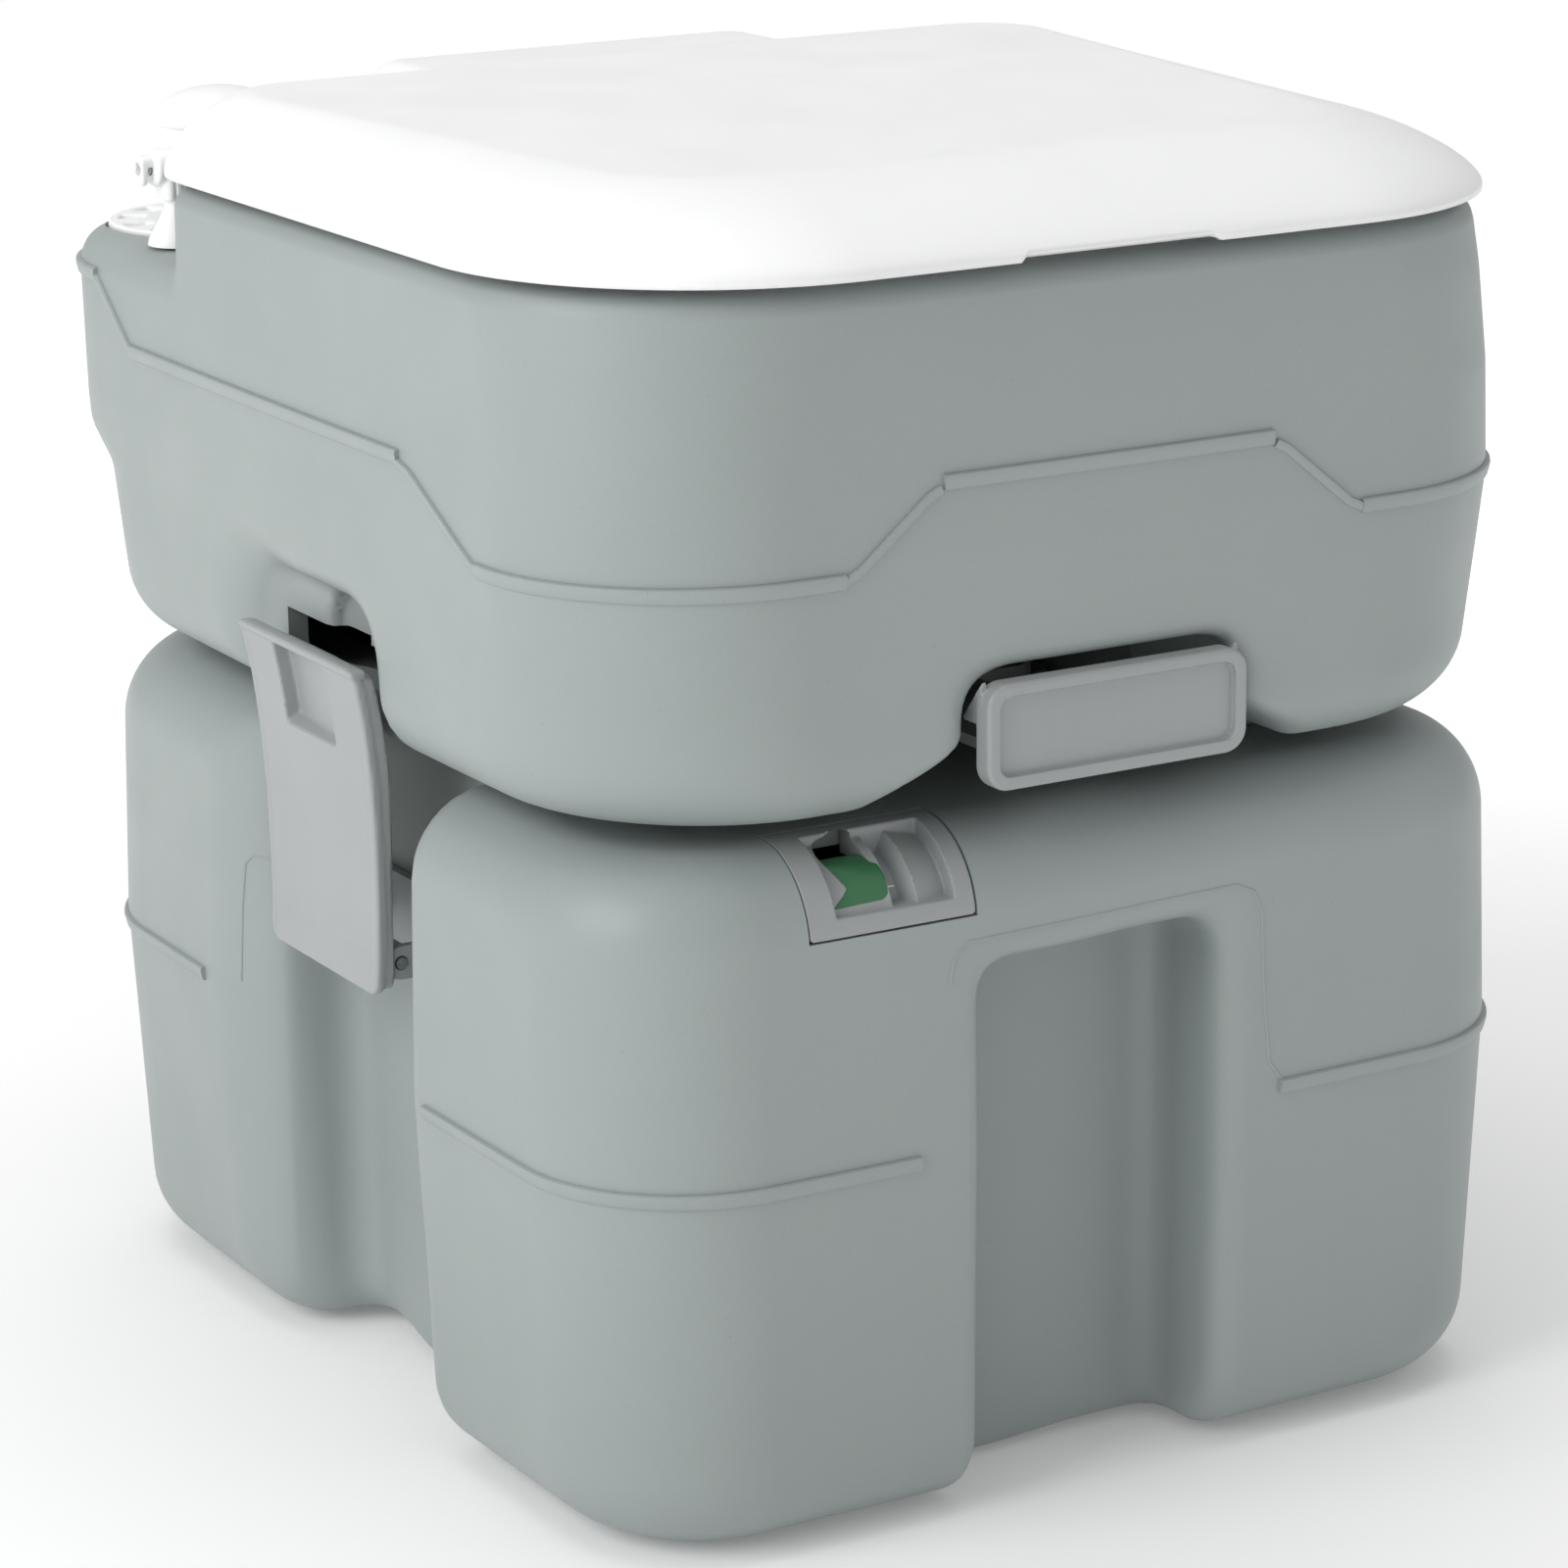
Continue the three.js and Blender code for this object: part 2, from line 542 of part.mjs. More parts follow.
// Hand pump at the rear left.
function pumpCollar() {
  const { x, y, collar } = PUMP;
  const profile = [
    [5.2, 361.3], [collar, 361.3], [collar, 364.6], [collar - 1, 365.6], [14, 365.6],
    [12, 370], [5.2, 370],
  ];
  const slots = Array.from({ length: 12 }, (_, i) => {
    const slot = new THREE.BoxGeometry(10, 3.6, 2.4).translate(30.5, 0, 366);
    return solidFrom(slot.rotateZ((i * Math.PI) / 6).translate(x, y, 0));
  });
  return cut(turned(profile, x, y, 20), ...slots);
}

function pumpBarrel() {
  const { x, y, barrel, bore } = PUMP;
  const profile = [
    [6, 240], [barrel, 240], [barrel, 361], [bore, 361], [bore, 243], [6, 243],
  ];
  return turned(profile, x, y, 18);
}

const pumpPiston = () =>
  turned(
    [[0, 290], [23.6, 290], [23.6, 304], [0, 304]],
    PUMP.x, PUMP.y, 32,
  );

const pumpRod = () => bar("z", PUMP.x, PUMP.y, 304.3, 400.5, 4.5);

function pumpKnob() {
  const r = PUMP.knob;
  const profile = [
    [0, 400.8], [4.8, 400.8], [4.8, 395], [9, 395], [10, 397.5], [r - 3, 396.5], [r, 398.5],
    [r, 400.5], [r - 1.5, 403.5], [r - 5, 406.6], [r - 11, 409], [0, 410.2],
  ];
  return turned(profile, PUMP.x, PUMP.y);
}

function pumpSpring() {
  class Helix extends THREE.Curve {
    getPoint(t, target = new THREE.Vector3()) {
      const turn = 2 * Math.PI * 5 * t;
      const [x, y] = [PUMP.x + 14 * Math.cos(turn), PUMP.y + 14 * Math.sin(turn)];
      return target.set(x, y, 245 + 43 * t);
    }
  }
  const wire = new THREE.Shape().absarc(0, 0, 1.1, 0, 2 * Math.PI);
  const options = { extrudePath: new Helix(), steps: 60, curveSegments: 3 };
  return solidFrom(new THREE.ExtrudeGeometry(wire, options));
}

// Water filler at the rear right.
const fillSeal = () => tube("z", FILL.x, FILL.y, DECK.z + GAP, DECK.z + 2, 33, 28, 24);

function fillCap() {
  const { x, y, cap, plug } = FILL;
  const profile = [
    [0, 366.3], [22, 366.3], [22, 352], [plug, 352], [plug, 366.3], [cap, 366.3],
    [cap, 370.5], [cap - 2, 372], [0, 372],
  ];
  const grip = prism(x - 27, x + 27, y - 5, y + 5, 371, 380, 4, 1.5);
  const notches = Array.from({ length: 12 }, (_, i) => {
    const turn = (i * Math.PI) / 6;
    const place = [x + (cap + 0.8) * Math.cos(turn), y + (cap + 0.8) * Math.sin(turn)];
    return bar("z", ...place, 360, 380, 2.4, 6);
  });
  return join(cut(turned(profile, x, y, 18), ...notches), grip);
}

// Seat, lid and their hinges.
function hingePost() {
  const x = -HINGE.postX;
  const foot = turned(
    [
      [0, 352], [5, 352], [3.6, 358], [3.6, 364.3], [10.5, 364.3], [10, 368], [6.5, 374],
      [4.2, 378], [4.2, 382], [0, 382],
    ],
    x, HINGE.y, 10,
  );
  const block = prism(x - 6, x + 6, HINGE.y - 6, HINGE.y + 6, 380, 392, 4);
  const barrel = bar("x", HINGE.y, HINGE.z, x - 9, x + 6, HINGE.knuckle);
  return cut(
    join(foot, block, barrel),
    bar("x", HINGE.y, HINGE.z, -FAR, FAR, HINGE.pinRadius + 0.4, 16),
  );
}

const hingePin = () => bar("x", HINGE.y, HINGE.z, -168.5, -128.5, HINGE.pinRadius, 16);

// A hinge arm on the left, from the knuckle forward to y and up to the piece, and its mirror image.
function hingeArms(x0, x1, y, riseY, top, rootY = y) {
  const knuckle = bar("x", HINGE.y, HINGE.z, x0, x1, HINGE.knuckle);
  const arm = box(x0, x1, y, HINGE.y, 387, 393.4);
  const riser = box(x0, x1, y, riseY, 387, top);
  const root = box(x0, x1, rootY, riseY, 396, top);
  const pair = cut(
    join(knuckle, arm, riser, root), bar("x", HINGE.y, HINGE.z, -FAR, 0, HINGE.pinRadius + 0.4, 16),
  );
  return [pair, mirrored(pair)];
}

function seat() {
  const { halfWidth, front, rear, base, top, corner } = SEAT;
  const slab = prism(-halfWidth, halfWidth, front, rear, base, top, corner, 6);
  const opening = new THREE.CylinderGeometry(1, 1, 60, 32).rotateX(Math.PI / 2);
  const hole = solidFrom(opening.scale(98, 116, 1).translate(0, BOWL.rimY, 400));
  const flat = cut(slab, hole);
  return join(flat, ...hingeArms(-139.5, -129, 89, 93, 399.6, 72));
}

// Height of the lid's plateau, which falls a little towards the front.
const lidTop = (y) =>
  LID.top - (LID.fall * (LID.rear - LID.rearShoulder - y)) / (LID.rear - LID.front);

// One ring round the lid, drawn in over a share of its shoulder: [x, y] pairs.
function lidRing(share, inset) {
  const corners = [[1, -1, -90], [1, 1, 0], [-1, 1, 90], [-1, -1, 180]];
  return corners.flatMap(([side, end, start]) => {
    const radius = (end < 0 ? LID.frontCorner : LID.rearCorner) - inset;
    const middleX = side * (LID.halfWidth - inset - radius);
    const middleY = end < 0 ? LID.front + inset + radius : LID.rear - inset - radius;
    return Array.from({ length: 6 }, (_, i) => {
      const turn = THREE.MathUtils.degToRad(start + i * 18);
      const forward = (LID.rear - middleY - radius * Math.sin(turn)) / (LID.rear - LID.front);
      const shoulder = THREE.MathUtils.lerp(LID.rearShoulder, LID.frontShoulder, forward);
      const reach = radius - share * shoulder;
      return [middleX + reach * Math.cos(turn), middleY + reach * Math.sin(turn)];
    });
  });
}

// The lid's dome, or the hollow in it when inset is its wall, open to below the base.
function lidDome(inset) {
  const floor = LID.base - 20;
  const rise = (share) => (1 - (1 - share) ** LID.bulge) ** (1 / LID.bulge);
  const level = (share, y) => LID.spring - inset + (lidTop(y) - LID.spring) * rise(share);
  const rings = [lidRing(0, inset).map(([x, y]) => [x, y, floor])];
  for (const share of [0, 0.1, 0.25, 0.45, 0.7, 1]) {
    rings.push(lidRing(share, inset).map(([x, y]) => [x, y, level(share, y)]));
  }
  const round = rings[0].length;
  const [under, over] = [rings.length * round, rings.length * round + 1];
  const faces = [];
  for (let i = 0; i < round; i += 1) {
    const next = (i + 1) % round;
    for (let k = 0; k + 1 < rings.length; k += 1) {
      const [low, high] = [k * round, (k + 1) * round];
      faces.push(low + i, low + next, high + next, low + i, high + next, high + i);
    }
    const last = (rings.length - 1) * round;
    faces.push(under, next, i, over, last + i, last + next);
  }
  const spots = [...rings.flat(2), 0, 0, floor, 0, 0, lidTop(0) - inset];
  const geometry = new THREE.BufferGeometry();
  geometry.setAttribute("position", new THREE.BufferAttribute(new Float32Array(spots), 3));
  geometry.setIndex(faces);
  return solidFrom(geometry);
}

function lid() {
  const tongue = (inset) =>
    prism(
      LID_TONGUE.left + inset, LID_TONGUE.right - inset, 40, LID_TONGUE.rear - inset,
      LID.base - 40, LID_TONGUE.top - inset, 16 - inset, LID_TONGUE.edge - inset,
    );
  const below = box(-FAR, FAR, -FAR, FAR, 0, LID.base);
  const notch = box(-33, 33, -FAR, LID.front + 12, 0, LID.base + 2.4);
  const hollow = join(lidDome(LID_WALL), tongue(LID_WALL));
  const shell = cut(join(lidDome(0), tongue(0)), hollow, below, notch);
  const armLimit = join(lidDome(1), below);
  const arms = hingeArms(-150.6, -140.1, 97, 103, 412).map((arm) => arm.intersect(armLimit));
  const armRoom = hingeArmRoom(-139.85, -128.5, 70, 124);
  return join(cut(shell, armRoom, mirrored(armRoom)), ...arms);
}

// Room in the lid's rear skirt for the seat's hinge arm.
const hingeArmRoom = (x0, x1, y0, y1) => box(x0, x1, y0, y1, 380, HINGE.z + HINGE.knuckle + 0.4);

const bumper = (x, y, from, to, radius) => bar("z", x, y, from, to, radius, 10);

// The assembly.
const toilet = new THREE.Group();

function add(name, manifold, look) {
  const material = new THREE.MeshStandardMaterial(look);
  const mesh = new THREE.Mesh(geometryFrom(manifold), material);
  mesh.name = name;
  toilet.add(mesh);
}

function addPair(name, manifold, look) {
  add(`${name}_left`, manifold, look);
  add(`${name}_right`, mirrored(manifold), look);
}

add("waste_tank", wasteTank(), GREY);
add("valve_housing", valveHousing(), TRIM_GREY);
add("valve_gasket", valveGasket(), RUBBER);
add("valve_lip_seal", lipSeal(), RUBBER);
add("valve_blade", valveBlade(), TRIM_GREY);
add("valve_handle", valveHandle(), TRIM_GREY);
add("valve_handle_pin", bar("z", 0, -196, 234.2, 240.2, 1.9, 12), STEEL);
valveScrewPlaces().forEach(([x, y], i) => {
  add(`valve_screw_${i + 1}`, screw(x, y, VALVE.base + 3.4 + GAP, 14), STEEL);
});
add("level_bezel", levelBezel(), TRIM_GREY);
add("level_drum", levelDrum(), GREEN);
add("float_arm", floatArm(), WHITE);
add("float_ball", floatBall(), FOAM);
add("float_pin", floatPin(), STEEL);
add("spout_elbow", spoutElbow(), TRIM_GREY);
add("spout_ring", spoutRing(), RUBBER);
add("spout_cap", spoutCap(), TRIM_GREY);
add("spout_cap_seal", spoutCapSeal(), RUBBER);
add("relief_housing", reliefHousing(), TRIM_GREY);
add("relief_button", reliefButton(), WHITE);
addPair("latch", latchPlate(), TRIM_GREY);
addPair("latch_bracket", latchBracket(), TRIM_GREY);
addPair("latch_pin", latchPin(), STEEL);
latchScrewPlaces().forEach(([y, z], i) => {
  addPair(`latch_screw_${i + 1}`, latchScrew(y, z), STEEL);
});
add("fresh_tank", freshTank(), GREY);
add("bowl", bowl(), GREY);
add("flush_nozzle", flushNozzle(), WHITE);
add("flush_tube", flushTube(), CLEAR);
add("pump_collar", pumpCollar(), WHITE);
add("pump_barrel", pumpBarrel(), WHITE);
add("pump_piston", pumpPiston(), RUBBER);
add("pump_rod", pumpRod(), WHITE);
add("pump_knob", pumpKnob(), WHITE);
add("pump_spring", pumpSpring(), STEEL);
add("fill_seal", fillSeal(), RUBBER);
add("fill_cap", fillCap(), WHITE);
addPair("hinge_post", hingePost(), WHITE);
addPair("hinge_pin", hingePin(), STEEL);
add("seat", seat(), WHITE);
add("lid", lid(), WHITE);
[[-140, 412.2], [20, 415.6]].forEach(([y, lidBumperTop], i) => {
  addPair(`seat_bumper_${i + 1}`, bumper(-126, y, 392.3, 394.5, 6), RUBBER);
  addPair(`lid_bumper_${i + 1}`, bumper(-126, y, 407.3, lidBumperTop, 5), RUBBER);
});

export default toilet;
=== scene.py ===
"""Looks of the portable camp toilet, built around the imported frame."""
import json
import math

import bmesh
import bpy
import numpy as np
from mathutils import Matrix, Vector


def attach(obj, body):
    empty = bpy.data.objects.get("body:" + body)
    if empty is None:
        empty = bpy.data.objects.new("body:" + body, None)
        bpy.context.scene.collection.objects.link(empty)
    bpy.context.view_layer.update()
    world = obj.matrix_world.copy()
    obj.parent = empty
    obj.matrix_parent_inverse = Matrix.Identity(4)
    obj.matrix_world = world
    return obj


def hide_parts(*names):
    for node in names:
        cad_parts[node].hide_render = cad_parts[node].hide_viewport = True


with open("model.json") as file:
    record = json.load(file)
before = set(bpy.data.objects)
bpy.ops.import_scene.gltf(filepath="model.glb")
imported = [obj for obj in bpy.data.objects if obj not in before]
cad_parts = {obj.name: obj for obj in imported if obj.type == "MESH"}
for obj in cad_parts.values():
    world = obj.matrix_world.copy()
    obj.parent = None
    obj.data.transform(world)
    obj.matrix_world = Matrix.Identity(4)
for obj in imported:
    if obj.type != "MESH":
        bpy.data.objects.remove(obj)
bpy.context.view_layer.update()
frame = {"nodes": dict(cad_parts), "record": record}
MM = 0.001

# sizes and places that several pieces share, in mm
TANK_FRONT = -207
FRESH_HALF, FRESH_REAR, FRESH_CORNER = 177.5, 210, 58
WASTE_HALF, WASTE_REAR, WASTE_CORNER, WASTE_REAR_CORNER = 175, 201, 53, 62
RIB_LOW, RIB_MIDDLE, RIB_FRONT, RIB_HIGH, RIB_WASTE = 305.0, 330.3, 330.6, 352.0, 121.0
DECK_FRONT, DECK_Z = 87, 364
PUMP_X, FILL_X, DECK_CAP_Y = -122, 122, 161
HINGE_X, HINGE_Y, HINGE_Z = 157, 118, 391
SPOUT_X, SPOUT_Y, SPOUT_Z = 70, 175, 190
RELIEF_X, RELIEF_Y = -115, 140
OUTLET_Y = -20
BOWL_THROAT_Z, BOWL_DEPTH, BOWL_SHIFT, BOWL_STRETCH = 262, 129, 38, 0.18
SPRING_Z, LID_TOP = 395.5, 420


# ---------------------------------------------------------------- distance functions, in mm

def smax(a, b, k):
    """The larger of two distances, rounded over where they are within k."""
    h = np.maximum(k - np.abs(a - b), 0) / k
    return np.maximum(a, b) + h * h * k * 0.25


def smin(a, b, k):
    return -smax(-a, -b, k)


def ease(t):
    t = np.clip(t, 0, 1)
    return t * t * (3 - 2 * t)


def rect(u, v, half_u, half_v, r):
    """Distance to a rectangle with rounded corners, centred on the origin."""
    a, b = np.abs(u) - half_u + r, np.abs(v) - half_v + r
    return np.hypot(np.maximum(a, 0), np.maximum(b, 0)) + np.minimum(np.maximum(a, b), 0) - r


def span(w, low, high):
    return np.abs(w - (low + high) / 2) - (high - low) / 2


def slab(d, w, r):
    """Two distances joined at a right angle with a rounded edge."""
    a, b = d + r, w + r
    return np.hypot(np.maximum(a, 0), np.maximum(b, 0)) + np.minimum(np.maximum(a, b), 0) - r


def drum(u, v, w, radius, w0, w1, edge):
    return slab(np.hypot(u, v) - radius, span(w, w0, w1), edge)


# ---------------------------------------------------------------- meshing

def gradient(sdf, p, eps=0.02):
    g = np.empty_like(p)
    for i in range(3):
        step = np.zeros(3)
        step[i] = eps
        g[:, i] = (sdf(*(p + step).T) - sdf(*(p - step).T)) / (2 * eps)
    return g


def project(sdf, p, limit, times=4):
    """Moves points on to the zero surface of sdf."""
    for _ in range(times):
        g = gradient(sdf, p)
        d = sdf(*p.T) / np.maximum((g * g).sum(1), 0.05)
        move = -g * d[:, None]
        far = np.maximum(np.linalg.norm(move, axis=1) / limit, 1)
        p = p + move / far[:, None]
    return p


def surface_net(sdf, low, high, step):
    """Vertices and quads of the zero surface of sdf inside a box."""
    axes = [np.arange(a - 1.51 * step, b + 2.5 * step, step) for a, b in zip(low, high)]
    grid = np.meshgrid(*axes, indexing="ij")
    d = sdf(*grid)
    del grid
    origin = np.array([a[0] for a in axes])
    n = d.shape
    cells, points, quads = [], [], []
    for axis in range(3):
        u, v = (axis + 1) % 3, (axis + 2) % 3
        near = np.take(d, np.arange(n[axis] - 1), axis)
        far = np.take(d, np.arange(1, n[axis]), axis)
        at = np.argwhere((near < 0) != (far < 0))
        at = at[(at[:, u] > 0) & (at[:, v] > 0) & (at[:, u] < n[u] - 1) & (at[:, v] < n[v] - 1)]
        a, b = near[tuple(at.T)], far[tuple(at.T)]
        place = at.astype(float)
        place[:, axis] += a / (a - b)
        around = []
        for du, dv in ((0, 0), (-1, 0), (-1, -1), (0, -1)):
            cell = at.copy()
            cell[:, u] += du
            cell[:, v] += dv
            around.append((cell[:, 0] * n[1] + cell[:, 1]) * n[2] + cell[:, 2])
        quad = np.stack(around, 1)
        cells.append(quad.ravel())
        points.append(np.repeat(origin + step * place, 4, axis=0))
        quad[a >= 0] = quad[a >= 0][:, ::-1]
        quads.append(quad)
    names, index = np.unique(np.concatenate(cells), return_inverse=True)
    points = np.concatenate(points)
    count = np.bincount(index)
    p = np.stack([np.bincount(index, points[:, i]) / count for i in range(3)], 1)
    quads = np.searchsorted(names, np.concatenate(quads))
    return project(sdf, p, 0.6 * step), quads


def mesh_of(name, points, faces):
    """A mesh from mm points and an array of quads."""
    mesh = bpy.data.meshes.new(name)
    mesh.vertices.add(len(points))
    mesh.vertices.foreach_set("co", (points * MM).astype(np.float32).ravel())
    mesh.loops.add(faces.size)
    mesh.loops.foreach_set("vertex_index", faces.astype(np.int32).ravel())
    mesh.polygons.add(len(faces))
    mesh.polygons.foreach_set("loop_start", np.arange(0, faces.size, faces.shape[1], dtype=np.int32))
    mesh.update(calc_edges=True)
    mesh.validate()
    return mesh


def object_of(name, mesh):
    made = bpy.data.objects.new(name, mesh)
    bpy.context.scene.collection.objects.link(made)
    return made


def net_object(name, sdf, low, high, step):
    return object_of(name, mesh_of(name, *surface_net(sdf, low, high, step)))


def combine(target, tool, operation):
    """A solid join or cut, applied, after which the tool is gone."""
    before = len(target.data.polygons)
    for solver in ("MANIFOLD", "EXACT"):
        change = target.modifiers.new("combine", "BOOLEAN")
        change.operation, change.solver, change.object = operation, solver, tool
        graph = bpy.context.evaluated_depsgraph_get()
        mesh = bpy.data.meshes.new_from_object(target.evaluated_get(graph))
        target.modifiers.clear()
        if len(mesh.polygons) and len(mesh.polygons) != before:
            break
        print("combine:", target.name, operation, solver, "gave", len(mesh.polygons))
    old = target.data
    target.data = mesh
    bpy.data.meshes.remove(old)
    bpy.data.objects.remove(tool)


def shade(piece, sdf=None, angle=35):
    """Smooth shading with creases, taking exact normals from sdf where its surface is."""
    mesh = piece.data
    mesh.polygons.foreach_set("use_smooth", np.ones(len(mesh.polygons), bool))
    mesh.set_sharp_from_angle(angle=math.radians(angle))
    if sdf is None:
        return
    co = np.empty(len(mesh.vertices) * 3, np.float32)
    mesh.vertices.foreach_get("co", co)
    p = co.reshape(-1, 3).astype(float) / MM
    g = gradient(sdf, p, 0.05)
    g /= np.maximum(np.linalg.norm(g, axis=1), 1e-9)[:, None]
    on = np.abs(sdf(*p.T)) < 0.15
    corner = np.empty(len(mesh.loops) * 3, np.float32)
    mesh.corner_normals.foreach_get("vector", corner)
    corner = corner.reshape(-1, 3)
    vert = np.empty(len(mesh.loops), np.int32)
    mesh.loops.foreach_get("vertex_index", vert)
    faces = np.empty(len(mesh.polygons) * 3, np.float32)
    mesh.polygons.foreach_get("normal", faces)
    total = np.empty(len(mesh.polygons), np.int32)
    mesh.polygons.foreach_get("loop_total", total)
    flat = np.repeat(faces.reshape(-1, 3), total, axis=0)
    use = on[vert] & ((g[vert] * flat).sum(1) > 0.75)
    corner[use] = g[vert][use]
    mesh.normals_split_custom_set(corner.tolist())


def turned(name, profile, x, y, sides=96):
    """A solid turned about the vertical through (x, y) from [radius, z] pairs on one closed line."""
    a = np.linspace(0, 2 * math.pi, sides, endpoint=False)
    r, z = np.array(profile, float).T
    ring = np.stack([np.outer(np.cos(a), r) + x, np.outer(np.sin(a), r) + y, np.tile(z, (sides, 1))], 2)
    m = len(r)
    i, j = np.meshgrid(np.arange(sides), np.arange(m), indexing="ij")
    k, l = (i + 1) % sides, (j + 1) % m
    faces = np.stack([i * m + j, k * m + j, k * m + l, i * m + l], 2).reshape(-1, 4)
    made = object_of(name, mesh_of(name, ring.reshape(-1, 3), faces))
    return tidy_mesh(made)


def tidy_mesh(made):
    """Welds doubled points and turns the faces outwards."""
    work = bmesh.new()
    work.from_mesh(made.data)
    bmesh.ops.remove_doubles(work, verts=work.verts, dist=1e-6)
    bmesh.ops.dissolve_degenerate(work, edges=work.edges, dist=1e-6)
    bmesh.ops.recalc_face_normals(work, faces=work.faces)
    work.to_mesh(made.data)
    work.free()
    return made


def cylinder(axis, a, b, low, high, radius, sides=64):
    """A cutting tool: a round bar along an axis. a and b are its other two coordinates in x, y, z order."""
    t = np.linspace(0, 2 * math.pi, sides, endpoint=False)
    ends = []
    for w in (low, high):
        u, v = a + radius * np.cos(t), b + radius * np.sin(t)
        w = np.full(sides, float(w))
        ends.append(np.stack({"x": (w, u, v), "y": (u, w, v), "z": (u, v, w)}[axis], 1))
    i = np.arange(sides)
    j = (i + 1) % sides
    mesh = bpy.data.meshes.new("tool")
    side = np.stack([i, j, j + sides, i + sides], 1).tolist()
    caps = [i[::-1].tolist(), (i + sides).tolist()]
    mesh.from_pydata((np.concatenate(ends) * MM).tolist(), [], side + caps)
    return tidy_mesh(object_of("tool", mesh))


def cuboid(x0, x1, y0, y1, z0, z1):
    work = bmesh.new()
    bmesh.ops.create_cube(work, size=1)
    for v in work.verts:
        v.co = Vector((
            (x0 + x1) / 2 + v.co.x * (x1 - x0), (y0 + y1) / 2 + v.co.y * (y1 - y0),
            (z0 + z1) / 2 + v.co.z * (z1 - z0),
        )) * MM
    mesh = bpy.data.meshes.new("tool")
    work.to_mesh(mesh)
    work.free()
    return object_of("tool", mesh)


def strip(name, sdf, path, section):
    """A raised strip that follows a path on the surface of sdf. section is [across, out] pairs."""
    p = project(sdf, np.array(path, float), 3, 8)
    out = gradient(sdf, p, 0.05)
    out /= np.linalg.norm(out, axis=1)[:, None]
    along = np.gradient(p, axis=0)
    along /= np.linalg.norm(along, axis=1)[:, None]
    across = np.cross(out, along)
    across /= np.linalg.norm(across, axis=1)[:, None]
    n, m = len(p), len(section)
    sec = np.array(section, float)
    pts = p[:, None] + across[:, None] * sec[None, :, :1] + out[:, None] * sec[None, :, 1:]
    i, j = np.meshgrid(np.arange(n - 1), np.arange(m), indexing="ij")
    k, l = i + 1, (j + 1) % m
    faces = np.stack([i * m + j, k * m + j, k * m + l, i * m + l], 2).reshape(-1, 4).tolist()
    faces += [list(range(m)), list(range((n - 1) * m, n * m))]
    mesh = bpy.data.meshes.new(name)
    mesh.from_pydata((pts.reshape(-1, 3) * MM).tolist(), [], faces)
    return tidy_mesh(object_of(name, mesh))


# ---------------------------------------------------------------- materials

def plastic(name, color, rough, grain=0.3, speck=0.5, tint=0.02, streak=0.0, coat=0.0):
    """Moulded plastic: cloudy colour, fine specks, uneven gloss and a fine surface grain."""
    mat = bpy.data.materials.new(name)
    mat.use_nodes = True
    nodes, links = mat.node_tree.nodes, mat.node_tree.links
    shader = nodes["Principled BSDF"]
    coord = nodes.new("ShaderNodeTexCoord")
    where = coord.outputs["Object"]

    def noise(scale, detail, roughness=0.55, vector=None):
        node = nodes.new("ShaderNodeTexNoise")
        node.inputs["Scale"].default_value = scale
        node.inputs["Detail"].default_value = detail
        node.inputs["Roughness"].default_value = roughness
        links.new(vector or where, node.inputs["Vector"])
        return node.outputs["Fac"]

    def remap(value, a, b, c, d):
        node = nodes.new("ShaderNodeMapRange")
        node.clamp = True
        for key, v in zip(("From Min", "From Max", "To Min", "To Max"), (a, b, c, d)):
            node.inputs[key].default_value = v
        links.new(value, node.inputs["Value"])
        return node.outputs["Result"]

    def mix(factor, first, second):
        node = nodes.new("ShaderNodeMix")
        node.data_type = "RGBA"
        links.new(factor, node.inputs[0])
        for socket, value in ((node.inputs[6], first), (node.inputs[7], second)):
            if isinstance(value, tuple):
                socket.default_value = value
            else:
                links.new(value, socket)
        return node.outputs[2]

    def shifted(factor):
        return tuple(min(c * factor, 1.0) for c in color) + (1.0,)

    base = mix(remap(noise(7.0, 4.0), 0.35, 0.65, 0.0, 1.0), shifted(1 - tint), shifted(1 + tint))
    spots = remap(noise(620.0, 2.0), 0.70, 0.78, 0.0, speck)
    base = mix(spots, base, shifted(0.72))
    pale = remap(noise(480.0, 2.0, 0.5), 0.72, 0.80, 0.0, speck * 0.7)
    base = mix(pale, base, shifted(1.25))
    if streak:
        stretch = nodes.new("ShaderNodeMapping")
        stretch.inputs["Scale"].default_value = (1.0, 1.0, 0.04)
        links.new(where, stretch.inputs["Vector"])
        lines = remap(noise(260.0, 2.0, 0.5, stretch.outputs["Vector"]), 0.4, 0.7, 0.0, streak)
        base = mix(lines, base, shifted(1.12))
    links.new(base, shader.inputs["Base Color"])
    links.new(
        remap(noise(30.0, 5.0), 0.3, 0.7, rough - 0.06, rough + 0.06), shader.inputs["Roughness"]
    )
    bump = nodes.new("ShaderNodeBump")
    bump.inputs["Strength"].default_value = grain
    bump.inputs["Distance"].default_value = 0.0002
    links.new(noise(1500.0, 2.0, 0.6), bump.inputs["Height"])
    wave = nodes.new("ShaderNodeBump")
    wave.inputs["Strength"].default_value = 0.25
    wave.inputs["Distance"].default_value = 0.0006
    links.new(noise(28.0, 2.0, 0.5), wave.inputs["Height"])
    links.new(bump.outputs["Normal"], wave.inputs["Normal"])
    links.new(wave.outputs["Normal"], shader.inputs["Normal"])
    shader.inputs["IOR"].default_value = 1.5
    shader.inputs["Coat Weight"].default_value = coat
    return mat


